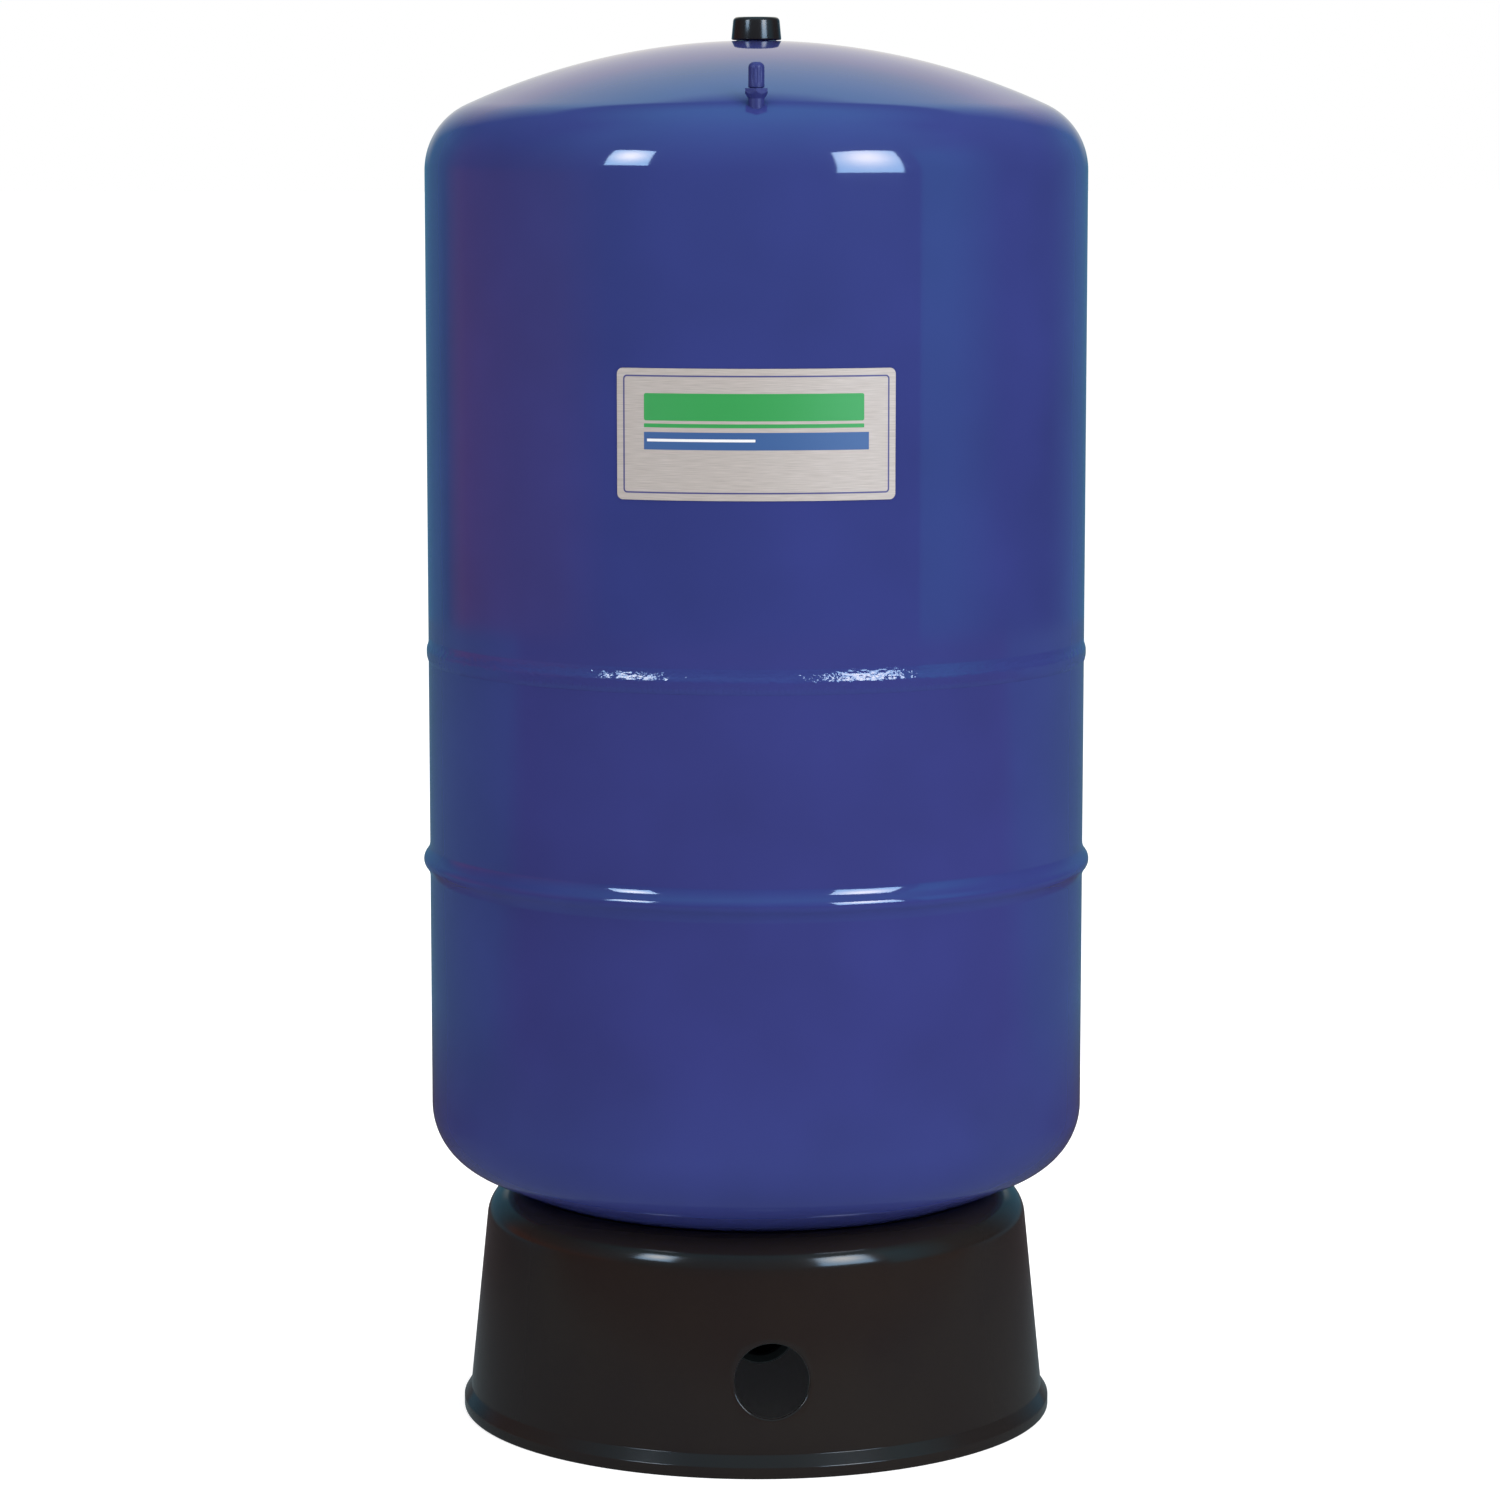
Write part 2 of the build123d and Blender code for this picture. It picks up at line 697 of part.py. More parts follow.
# Spring that lifts the pin and holds the disc shut
with BuildPart() as core_spring:
    spring_radius = (core_pin_radius + core_pocket_radius) / 2
    spring_bottom = pocket_bottom + spring_wire_radius + core_fit
    spring_top = collar_top - core_collar_thickness - spring_wire_radius - core_fit
    spring_length = spring_top - spring_bottom
    spring_start = valve_spot + Vector(0, 0, spring_bottom)
    with BuildLine() as coil:
        Helix(spring_length / spring_turns, spring_length, spring_radius, center=spring_start)
    with BuildSketch(Plane(origin=coil.line @ 0, z_dir=coil.line % 0)):
        Circle(spring_wire_radius)
    sweep(path=coil.line, is_frenet=True)

# Rounded cap over the threaded neck
with BuildPart() as valve_cap:
    with BuildSketch(valve_plane):
        with BuildLine():
            FilletPolyline(
                (0, valve_cap_top),
                (valve_cap_radius, valve_cap_top),
                (valve_cap_radius, valve_cap_bottom),
                radius=valve_cap_round,
            )
            FilletPolyline(
                (0, valve_roof), (valve_cap_bore, valve_roof), (valve_cap_bore, valve_cap_bottom),
                radius=valve_cap_bore_round,
            )
            Line((0, valve_cap_top), (0, valve_roof))
            Line((valve_cap_bore, valve_cap_bottom), (valve_cap_radius, valve_cap_bottom))
        make_face()
    revolve(axis=valve_axis)

# Rubber disc in the roof of the valve cap
with BuildPart() as valve_cap_seal:
    with BuildSketch(Plane.XY.offset(valve_roof)):
        with Locations((valve_spot.X, valve_spot.Y)):
            Circle(valve_cap_bore - valve_cap_bore_round)
    extrude(amount=-valve_seal_thickness)

pieces = {
    "upper_shell": upper_shell,
    "lower_shell": lower_shell,
    "girth_weld": girth_weld,
    "water_liner": water_liner,
    "diaphragm": diaphragm,
    "clamp_ring": clamp_ring,
    "port_nozzle": port_nozzle,
    "port_gasket": port_gasket,
    "port_nut": port_nut,
    "water_elbow": water_elbow,
    "base_stand": base_stand,
    "rating_plate": rating_plate,
    "top_boss": top_boss,
    "boss_weld": boss_weld,
    "top_plug": top_plug,
    "top_cap": top_cap,
    "valve_stem": valve_stem,
    "core_body": core_body,
    "core_seal": core_seal,
    "core_pin": core_pin,
    "pin_seal": pin_seal,
    "core_spring": core_spring,
    "valve_cap": valve_cap,
    "valve_cap_seal": valve_cap_seal,
}

os.makedirs("parts", exist_ok=True)
for name, piece in pieces.items():
    piece.part.label = name
    export_step(piece.part, f"parts/{name}.step")
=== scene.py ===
"""Looks of an upright well pressure tank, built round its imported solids.

Sizes are in millimetres in the classes of the tank and become metres when a mesh is made. In the
studio's classes they are in metres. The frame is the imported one: +Z up, the foot of the stand on the
floor at z = 0, the pipe hole towards -Y.
"""
import logging
from dataclasses import dataclass
from enum import Enum
from math import atan2, cos, hypot, pi, radians, sin, sqrt, tan
from typing import Any

import bmesh
import bpy
import numpy as np
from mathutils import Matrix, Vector


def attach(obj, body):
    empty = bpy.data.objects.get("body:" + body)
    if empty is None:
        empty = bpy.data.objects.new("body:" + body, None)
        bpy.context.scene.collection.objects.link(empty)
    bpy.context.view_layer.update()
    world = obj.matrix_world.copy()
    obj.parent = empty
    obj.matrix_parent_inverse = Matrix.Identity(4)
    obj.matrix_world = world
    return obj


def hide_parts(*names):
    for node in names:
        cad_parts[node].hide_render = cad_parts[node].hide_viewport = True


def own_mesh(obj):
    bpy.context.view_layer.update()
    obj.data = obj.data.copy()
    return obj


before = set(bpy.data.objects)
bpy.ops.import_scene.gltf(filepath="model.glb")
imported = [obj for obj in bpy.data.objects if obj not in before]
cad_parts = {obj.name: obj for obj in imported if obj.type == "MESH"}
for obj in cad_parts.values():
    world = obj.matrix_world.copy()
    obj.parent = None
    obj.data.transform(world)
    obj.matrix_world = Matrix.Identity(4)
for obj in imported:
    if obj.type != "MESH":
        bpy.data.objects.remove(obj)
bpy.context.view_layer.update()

Array = np.ndarray
Object = bpy.types.Object
Socket = bpy.types.NodeSocket
Tree = bpy.types.NodeTree
Pair = tuple[float, float]
Triple = tuple[float, float, float]

MM = 0.001                 # one millimetre in metres
FRONT = radians(-93.1)     # direction of the camera, the rating plate and the air valve, seen from the axis
CREASE = radians(28)       # edges that turn by more stay sharp
NOISE_SPAN = (0.3, 0.7)    # nearly all of a noise factor lies between these
log = logging.getLogger("tank")


class Slot(Enum):
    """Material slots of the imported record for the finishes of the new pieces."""

    TANK = "tank_paint"
    STAND = "stand_plastic"
    CAP = "cap_plastic"
    PLATE = "plate_metal"
    STEEL = "plain_steel"


class Body(Enum):
    """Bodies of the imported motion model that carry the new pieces."""

    TANK = "tank"
    TOP_CAP = "top_cap"
    VALVE_CAP = "valve_cap"


class Way(Enum):
    """Which way a head of the vessel bulges."""

    UP = 1
    DOWN = -1


def linear(colour: str, level: float = 1.0) -> tuple[float, float, float, float]:
    """Turn an sRGB hex colour into linear red, green, blue and alpha.

    Args:
        colour: Six hex digits after a hash sign.
        level: Factor on the linear values.

    Returns:
        Linear components and an alpha of one.
    """
    parts = np.array([int(colour[i : i + 2], 16) for i in (1, 3, 5)]) / 255
    low, high = parts / 12.92, ((parts + 0.055) / 1.055) ** 2.4
    red, green, blue = np.where(parts <= 0.04045, low, high) * level
    return float(red), float(green), float(blue), 1.0


def add_node(tree: Tree, kind: str, inputs: dict[Any, Any] | None = None, **fields: Any) -> bpy.types.Node:
    """Add a node.

    Args:
        tree: Node tree to add to.
        kind: Type of node, as in ShaderNodeMath.
        inputs: What its inputs get, by name or number: a socket that feeds it, or a constant.
        fields: Properties of the node itself.

    Returns:
        The new node.
    """
    node = tree.nodes.new(kind)
    for name, value in fields.items():
        setattr(node, name, value)
    for name, value in (inputs or {}).items():
        if isinstance(value, bpy.types.NodeSocket):
            tree.links.new(value, node.inputs[name])
        else:
            node.inputs[name].default_value = value
    return node


def maths(tree: Tree, operation: str, *values: Any) -> Socket:
    """Result of a math node.

    Args:
        tree: Node tree to add to.
        operation: What the node works out, as in MULTIPLY.
        values: Its inputs in order, each a socket or a constant.

    Returns:
        The result.
    """
    return add_node(tree, "ShaderNodeMath", dict(enumerate(values)), operation=operation).outputs[0]


def blank_material(name: str) -> tuple[bpy.types.Material, Tree]:
    """Make a material with an empty node tree.

    Args:
        name: Name of the material.

    Returns:
        The material and its tree.
    """
    material = bpy.data.materials.new(name)
    material.use_nodes = True
    material.node_tree.nodes.clear()
    return material, material.node_tree


def noise(tree: Tree, grain: float, detail: float = 2.0, stretch: Triple = (1, 1, 1)) -> Socket:
    """Noise on object coordinates whose grain is a real size.

    Args:
        tree: Node tree to add to.
        grain: Size of one grain in millimetres.
        detail: Octaves of finer noise.
        stretch: Factors on the coordinates, under 1 along the way that the grain runs.

    Returns:
        Factor from 0 to 1.
    """
    place = add_node(tree, "ShaderNodeTexCoord").outputs["Object"]
    spot = add_node(tree, "ShaderNodeMapping", {"Vector": place, "Scale": stretch}).outputs[0]
    inputs = {"Vector": spot, "Scale": 1 / (grain * MM), "Detail": detail}
    return add_node(tree, "ShaderNodeTexNoise", inputs).outputs["Fac"]


def ramp(tree: Tree, value: Socket, start: float, end: float, low: float = 0.0, high: float = 1.0) -> Socket:
    """Result that runs from low to high while a value runs from start to end, and holds beyond both.

    Args:
        tree: Node tree to add to.
        value: The value.
        start: Value at which the result is low. It may be above the end.
        end: Value at which the result is high.
        low: First result.
        high: Last result.

    Returns:
        The result.
    """
    inputs = {"Value": value, "From Min": start, "From Max": end, "To Min": low, "To Max": high}
    return add_node(tree, "ShaderNodeMapRange", inputs).outputs["Result"]


def blended(tree: Tree, factor: Socket, first: Any, second: Any) -> Socket:
    """Mix two colours, each given as a socket or as linear components.

    Args:
        tree: Node tree to add to.
        factor: Share of the second colour.
        first: Colour at 0.
        second: Colour at 1.

    Returns:
        The mixed colour.
    """
    return add_node(tree, "ShaderNodeMix", {0: factor, 6: first, 7: second}, data_type="RGBA").outputs[2]


def two_tone(tree: Tree, factor: Socket, first: str, second: str) -> Socket:
    """Colour that a noise factor shifts between two hex colours.

    Args:
        tree: Node tree to add to.
        factor: Noise factor.
        first: Colour where the noise is at its lowest.
        second: Colour where it is at its highest.

    Returns:
        The colour.
    """
    return blended(tree, ramp(tree, factor, *NOISE_SPAN), linear(first), linear(second))


def roughened(tree: Tree, factor: Socket, roughness: float, shares: Pair) -> Socket:
    """Roughness that a noise factor shifts between two shares of its usual value.

    Args:
        tree: Node tree to add to.
        factor: Noise factor.
        roughness: The usual value.
        shares: Its lowest and its highest share.

    Returns:
        The roughness.
    """
    return ramp(tree, factor, *NOISE_SPAN, roughness * shares[0], roughness * shares[1])


def bumped(tree: Tree, height: Socket, depth: float, below: Socket | None = None) -> Socket:
    """Bump whose height is a real size.

    Args:
        tree: Node tree to add to.
        height: Factor from 0 to 1.
        depth: Height in millimetres where the factor is 1.
        below: Normal of a coarser bump underneath.

    Returns:
        The bumped normal.
    """
    inputs = {"Height": height, "Distance": depth * MM} | ({"Normal": below} if below else {})
    return add_node(tree, "ShaderNodeBump", inputs).outputs["Normal"]


def surface(tree: Tree, inputs: dict[str, Any]) -> None:
    """Wire a principled shader to the material's output.

    Args:
        tree: Node tree to add to.
        inputs: What the shader's inputs get, each a socket or a constant.
    """
    shader = add_node(tree, "ShaderNodeBsdfPrincipled", inputs)
    add_node(tree, "ShaderNodeOutputMaterial", {"Surface": shader.outputs[0]})


@dataclass(frozen=True)
class BakedEnamel:
    """Gloss enamel sprayed on drawn steel and baked: a deep wet colour with a faint orange peel.

    The colour thins a little where the film does, the peel breaks up the edges of reflections, and the
    slow waves of the drawn sheet bend them. Along the belled edge of the seam the surface is uneven.
    """

    name: str = "baked_enamel"
    colour: str = "#373f83"
    thin_colour: str = "#333b7a"
    roughness: float = 0.055
    ior: float = 1.5
    specular: float = 0.5
    peel_size: float = 2.4
    peel_depth: float = 0.0016
    wave_size: float = 48.0
    wave_depth: float = 0.05
    film_size: float = 90.0
    bell_span: Pair = (458.5, 468.5)
    bell_size: float = 5.0
    bell_depth: float = 0.55
    bell_stretch: Triple = (1.0, 1.0, 2.0)
    rough_shares: Pair = (0.85, 1.15)

    def bell(self, tree: Tree) -> Socket:
        """Uneven height of the belled edge: noise that fades out at both ends of the edge's span.

        Args:
            tree: Node tree to add to.

        Returns:
            Factor from 0 to 1.
        """
        place = add_node(tree, "ShaderNodeTexCoord").outputs["Object"]
        height = add_node(tree, "ShaderNodeSeparateXYZ", {0: place}).outputs["Z"]
        low, high = (level * MM for level in self.bell_span)
        fade = (high - low) / 3
        rising = ramp(tree, height, low, low + fade)
        falling = ramp(tree, height, high, high - fade)
        span = maths(tree, "MINIMUM", rising, falling)
        return maths(tree, "MULTIPLY", span, noise(tree, self.bell_size, stretch=self.bell_stretch))

    def material(self) -> bpy.types.Material:
        """Make the enamel.

        Returns:
            The material.
        """
        made, tree = blank_material(self.name)
        film = noise(tree, self.film_size)
        waves = bumped(tree, noise(tree, self.wave_size, detail=0), self.wave_depth)
        edge = bumped(tree, self.bell(tree), self.bell_depth, waves)
        inputs = {
            "Base Color": two_tone(tree, film, self.colour, self.thin_colour),
            "Roughness": roughened(tree, film, self.roughness, self.rough_shares),
            "IOR": self.ior,
            "Specular IOR Level": self.specular,
            "Normal": bumped(tree, noise(tree, self.peel_size, detail=1), self.peel_depth, edge),
        }
        surface(tree, inputs)
        return made


@dataclass(frozen=True)
class MouldedPlastic:
    """Plastic moulded in a polished mould, or a coat like it: a soft sheen and slow flow marks.

    Where it has a skin, the skin carries the sheen, and the body under it reflects little.
    """

    name: str
    colour: str
    worn_colour: str
    roughness: float
    flow_size: float = 60.0
    flow_depth: float = 0.05
    grain_size: float = 0.8
    grain_depth: float = 0.0012
    ior: float = 1.49
    specular: float = 0.5
    skin: float = 0.0
    rough_shares: Pair = (0.85, 1.2)

    def material(self) -> bpy.types.Material:
        """Make the plastic.

        Returns:
            The material.
        """
        made, tree = blank_material(self.name)
        flow = noise(tree, self.flow_size)
        marks = bumped(tree, flow, self.flow_depth)
        grain = bumped(tree, noise(tree, self.grain_size), self.grain_depth, marks)
        sheen = noise(tree, self.flow_size / 3, detail=3)
        inputs = {
            "Base Color": two_tone(tree, flow, self.colour, self.worn_colour),
            "Roughness": roughened(tree, sheen, self.roughness, self.rough_shares),
            "IOR": self.ior,
            "Specular IOR Level": self.specular,
            "Normal": grain,
            "Coat Weight": self.skin,
            "Coat IOR": self.ior,
            "Coat Roughness": self.roughness,
            "Coat Normal": grain,
        }
        surface(tree, inputs)
        return made


@dataclass(frozen=True)
class WorkedMetal:
    """Bare metal with the marks of its making: a fine grain and slight clouding."""

    name: str
    colour: str
    dull_colour: str
    roughness: float
    grain: float = 0.4
    stretch: Triple = (1.0, 1.0, 8.0)
    depth: float = 0.004
    cloud_grains: float = 30.0
    rough_shares: Pair = (0.8, 1.25)

    def material(self) -> bpy.types.Material:
        """Make the metal.

        Returns:
            The material.
        """
        made, tree = blank_material(self.name)
        marks = noise(tree, self.grain, stretch=self.stretch)
        cloud = noise(tree, self.grain * self.cloud_grains, detail=3)
        inputs = {
            "Base Color": two_tone(tree, cloud, self.colour, self.dull_colour),
            "Metallic": 1.0,
            "Roughness": roughened(tree, marks, self.roughness, self.rough_shares),
            "Normal": bumped(tree, marks, self.depth),
        }
        surface(tree, inputs)
        return made


@dataclass(frozen=True)
class ButylRubber:
    """Moulded butyl rubber: matt, slightly greyed by bloom."""

    name: str = "butyl_rubber"
    colour: str = "#1d1d1e"
    bloom_colour: str = "#2b2b2c"
    roughness: float = 0.6
    grain: float = 1.2
    depth: float = 0.01
    bloom_grains: float = 12.0
    specular: float = 0.4
    rough_shares: Pair = (0.9, 1.1)

    def material(self) -> bpy.types.Material:
        """Make the rubber.

        Returns:
            The material.
        """
        made, tree = blank_material(self.name)
        bloom = noise(tree, self.grain * self.bloom_grains, detail=4)
        inputs = {
            "Base Color": two_tone(tree, bloom, self.colour, self.bloom_colour),
            "Roughness": roughened(tree, bloom, self.roughness, self.rough_shares),
            "Specular IOR Level": self.specular,
            "Normal": bumped(tree, noise(tree, self.grain), self.depth),
        }
        surface(tree, inputs)
        return made


@dataclass(frozen=True)
class PrintField:
    """One printed shape on the rating plate: a round-cornered rectangle, or only its outline."""

    colour: str
    centre: Pair
    half: Pair
    corner: float
    line: float = 0.0
    blur: float = 0.1

    def mask(self, tree: Tree, spot: Socket) -> Socket:
        """Factor that is 1 inside the shape.

        The distance to a round-cornered rectangle is the length of the part of (|spot - centre| - half +
        corner) above 0, less the corner. The outline is where that distance is within half a line of 0.

        Args:
            tree: Node tree to add to.
            spot: Place on the plate in millimetres from its middle.

        Returns:
            The factor.
        """
        core = (self.half[0] - self.corner, self.half[1] - self.corner, 0)
        steps = (
            ("SUBTRACT", {1: (*self.centre, 0)}),
            ("ABSOLUTE", {}),
            ("SUBTRACT", {1: core}),
            ("MAXIMUM", {1: (0, 0, 0)}),
        )
        for operation, other in steps:
            spot = add_node(tree, "ShaderNodeVectorMath", {0: spot} | other, operation=operation).outputs[0]
        reach = add_node(tree, "ShaderNodeVectorMath", {0: spot}, operation="LENGTH").outputs["Value"]
        gap = maths(tree, "SUBTRACT", reach, self.corner)
        if self.line:
            gap = maths(tree, "ABSOLUTE", gap)
        return ramp(tree, gap, self.line / 2 + self.blur, self.line / 2 - self.blur)


@dataclass(frozen=True)
class PrintedFoil:
    """Brushed aluminium plate with printed fields.

    The brushing runs along the plate and spreads reflections up and down. The metal is dull, and the ink is
    a satin film that covers it.
    """

    width: float
    height: float
    fields: tuple[PrintField, ...]
    name: str = "printed_brushed_aluminium"
    colour: str = "#cabcb3"
    shade_colour: str = "#b7a9a0"
    metallic: float = 0.35
    roughness: float = 0.66
    rough_shares: Pair = (0.85, 1.15)
    ink_roughness: float = 0.5
    brush_pitch: float = 0.35
    brush_length: float = 14.0
    brush_depth: float = 0.006
    brush_detail: float = 3.0

    def material(self) -> bpy.types.Material:
        """Make the plate's finish.

        Returns:
            The material.
        """
        made, tree = blank_material(self.name)
        place = add_node(tree, "ShaderNodeUVMap", uv_map="plate").outputs[0]
        middle = {"Location": (-self.width / 2, -self.height / 2, 0), "Scale": (self.width, self.height, 1)}
        spot = add_node(tree, "ShaderNodeMapping", middle | {"Vector": place}).outputs[0]
        brush = {"Vector": spot, "Scale": (1 / self.brush_length, 1 / self.brush_pitch, 1)}
        along = add_node(tree, "ShaderNodeMapping", brush).outputs[0]
        grain = {"Vector": along, "Scale": 1.0, "Detail": self.brush_detail}
        marks = add_node(tree, "ShaderNodeTexNoise", grain).outputs["Fac"]
        colour = two_tone(tree, marks, self.colour, self.shade_colour)
        ink = 0.0
        for printed in self.fields:
            mask = printed.mask(tree, spot)
            colour = blended(tree, mask, colour, linear(printed.colour))
            ink = maths(tree, "MAXIMUM", ink, mask)
        worked = roughened(tree, marks, self.roughness, self.rough_shares)
        rough = add_node(tree, "ShaderNodeMix", {0: ink, 2: worked, 3: self.ink_roughness}).outputs[0]
        inputs = {
            "Base Color": colour,
            "Metallic": ramp(tree, ink, 0, 1, self.metallic, 0),
            "Roughness": rough,
            "Normal": bumped(tree, marks, self.brush_depth),
        }
        surface(tree, inputs)
        return made


def pointing(angle: Any) -> Array:
    """Cosine and sine of an angle, side by side on a last axis."""
    return np.stack([np.cos(angle), np.sin(angle)], -1)


def full_turn(count: int) -> Array:
    """Evenly spaced angles once round, the last one short of the start."""
    return np.arange(count) * 2 * pi / count


def polar(radius: Any, angle: Any, height: Any) -> Array:
    """Points at radius times the cosine and sine of an angle, and at a height. Each may be a grid."""
    return np.stack(np.broadcast_arrays(radius * np.cos(angle), radius * np.sin(angle), height), -1)


def polar_arc(centre: Pair, radius: float, first: float, last: float, count: int) -> Array:
    """Points on an arc: centre plus radius times (cosine, sine) of an angle that runs from first to last.

    Args:
        centre: Centre of the arc.
        radius: Its radius.
        first: Start angle.
        last: End angle.
        count: Number of points.

    Returns:
        Array of count rows of two.
    """
    return np.array(centre) + radius * pointing(np.linspace(first, last, count))


def straight(first: Any, last: Any, count: int) -> Array:
    """Evenly spaced points on a line.

    Args:
        first: Start point.
        last: End point.
        count: Number of points.

    Returns:
        Array of count rows.
    """
    return np.linspace(first, last, count)


def s_bend(start: Any, rise: float, run: float, first_share: float, count: int = 16) -> Array:
    """Two tangent arcs that shift an upright line sideways by rise over the height run.

    Both arcs turn by twice the angle whose tangent is rise over run, and share the radius
    run / sin(turn) between them.

    Args:
        start: First point.
        rise: Sideways shift.
        run: Height over which it happens, negative downwards.
        first_share: Share of the two radii that the first arc has.
        count: Points on each arc.

    Returns:
        Array of points, radius and height.
    """
    turn = 2 * atan2(abs(rise), abs(run))
    radii = abs(run) / sin(turn)
    side = np.array([1 if rise > 0 else -1, 1 if run > 0 else -1])
    angle = np.linspace(0, turn, count)
    bow = np.stack([1 - np.cos(angle), np.sin(angle)], 1) * side
    near = np.array(start) + radii * first_share * bow
    far = np.array(start) + (rise, run) - radii * (1 - first_share) * bow[::-1]
    return joined(near, far)


def joined(*runs: Array) -> Array:
    """Put runs of points end to end and drop the points that repeat.

    Args:
        runs: Arrays of points.

    Returns:
        One array of points.
    """
    points = np.concatenate([np.atleast_2d(run) for run in runs])
    step = np.linalg.norm(np.diff(points, axis=0), axis=1)
    return points[np.concatenate([[True], step > 1e-6])]


def eased(before: Any, corner: Any, after: Any, radius: float, count: int = 7) -> Array:
    """Round a corner between two straight lines with an arc that touches both.

    The arc's centre is on the line that halves the corner, at radius over the cosine of half the turn, and
    its ends are at radius times the tangent of half the turn from the corner.

    Args:
        before: Point on the first line.
        corner: The corner.
        after: Point on the second line.
        radius: Radius of the arc.
        count: Points on the arc.

    Returns:
        Rows of two.
    """
    into, out = np.subtract(corner, before), np.subtract(after, corner)
    into, out = into / hypot(*into), out / hypot(*out)
    turn = atan2(into[0] * out[1] - into[1] * out[0], into @ out)
    side = 1 if turn > 0 else -1
    centre = np.array(corner) - into * radius * tan(abs(turn) / 2)
    centre = centre + radius * side * np.array([-into[1], into[0]])
    first = atan2(-side * into[0], side * into[1])
    return polar_arc(centre, radius, first, first + turn, count)


def inset(run: Array, wall: float) -> Array:
    """Move a run of points to its right by a wall, at right angles to its direction.

    Args:
        run: Points, radius and height.
        wall: How far.

    Returns:
        The moved points, in the same order.
    """
    ahead = np.gradient(run, axis=0)
    ahead /= np.linalg.norm(ahead, axis=1)[:, None]
    return run + wall * np.stack([ahead[:, 1], -ahead[:, 0]], 1)


def wall_faces(rows: int, columns: int, closed: bool) -> Array:
    """Corners of the four-sided faces of a grid whose columns wrap round.

    Args:
        rows: Rows of points.
        columns: Columns of points.
        closed: Whether the last row joins the first.

    Returns:
        Array of faces by row and column, each of four point numbers.
    """
    row = np.arange(rows if closed else rows - 1)[:, None]
    column = np.arange(columns)[None, :]
    over, beside = (row + 1) % rows, (column + 1) % columns
    corners = ((row, column), (row, beside), (over, beside), (over, column))
    return np.stack(np.broadcast_arrays(*(line * columns + place for line, place in corners)), -1)


def placed(name: str, data: Any) -> Object:
    """Put an object in the scene, at the origin.

    Args:
        name: Name of the object.
        data: Its mesh, lamp or camera.

    Returns:
        The object.
    """
    made = bpy.data.objects.new(name, data)
    bpy.context.scene.collection.objects.link(made)
    return made


def mesh_object(name: str, points: Array, faces: Array, crease: float = CREASE) -> Object:
    """Make a smooth object from points in millimetres, with poles and seams merged and faces outwards.

    Args:
        name: Name of the object.
        name: Name of the object.
        points: Array of points, in any shape whose last axis is of three.
        faces: Array of faces, in any shape whose last axis is of four point numbers.
        crease: Edges that turn by more than this stay sharp.

    Returns:
        The object, at the origin.
    """
    used, numbers = np.unique(faces.reshape(-1), return_inverse=True)
    mesh = bpy.data.meshes.new(name)
    corners = points.reshape(-1, 3)[used] * MM
    mesh.from_pydata(corners.tolist(), [], numbers.reshape(-1, 4).tolist())
    worked = bmesh.new()
    worked.from_mesh(mesh)
    bmesh.ops.remove_doubles(worked, verts=worked.verts, dist=MM * 1e-4)
    bmesh.ops.recalc_face_normals(worked, faces=worked.faces)
    worked.to_mesh(mesh)
    worked.free()
    mesh.polygons.foreach_set("use_smooth", np.ones(len(mesh.polygons), bool))
    mesh.set_sharp_from_angle(angle=crease)
    return placed(name, mesh)


def turned_points(section: Array, angles: Array) -> Array:
    """Points of a surface of revolution: each point of a section at each angle round the axis.

    Args:
        section: Rows of radius and height.
        angles: Angle of each column.

    Returns:
        Array of rows by columns by three.
    """
    return polar(section[:, :1], angles, section[:, 1:])


def turned(name: str, section: Array, columns: int, closed: bool = True, crease: float = CREASE) -> Object:
    """Make a surface of revolution round the tank's axis.

    The columns stand half a step off the X and Y axes, so that no vertex reaches the full radius there.

    Args:
        name: Name of the object.
        section: Rows of radius and height, round the wall of the piece.
        columns: How many columns go round.
        closed: Whether the section closes on itself, or starts and ends on the axis.
        crease: Edges that turn by more than this stay sharp.

    Returns:
        The object.
    """
    angles = (np.arange(columns) + 0.5) * 2 * pi / columns
    faces = wall_faces(len(section), columns, closed)
    return mesh_object(name, turned_points(section, angles), faces, crease)


def drilled(piece: Object, spot: Array, radius: float, span: Pair, crease: float, columns: int = 64) -> None:
    """Drill an upright round hole through a piece.

    Args:
        piece: The piece.
        spot: Where the hole's axis stands, in millimetres.
        radius: Radius of the hole.
        span: Heights of the drill's lower and upper end.
        crease: Angle from which the piece's edges are sharp.
        columns: How many sides the drill has.
    """
    low, high = span
    section = np.array([(0.0, high), (radius, high), (radius, low), (0.0, low)])
    points = turned_points(section, full_turn(columns))
    points[..., :2] += spot
    drill = mesh_object("drill", points, wall_faces(len(section), columns, False))
    cut = piece.modifiers.new("hole", "BOOLEAN")
    cut.operation, cut.solver, cut.object = "DIFFERENCE", "EXACT", drill
    bpy.context.view_layer.update()
    whole = bpy.data.meshes.new_from_object(piece.evaluated_get(bpy.context.evaluated_depsgraph_get()))
    piece.modifiers.clear()
    piece.data = whole
    bpy.data.objects.remove(drill)
    whole.set_sharp_from_angle(angle=crease)


def dressed(piece: Object, material: bpy.types.Material, slot: Slot, body: Body, *nodes: str) -> Object:
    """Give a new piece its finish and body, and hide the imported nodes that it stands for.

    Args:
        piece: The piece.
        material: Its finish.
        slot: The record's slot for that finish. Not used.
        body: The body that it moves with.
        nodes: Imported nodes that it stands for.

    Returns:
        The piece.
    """
    piece.data.materials.append(material)
    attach(piece, body.value)
    if nodes:
        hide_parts(*nodes)
    log.info("%s: %d faces", piece.name, len(piece.data.polygons))
    return piece


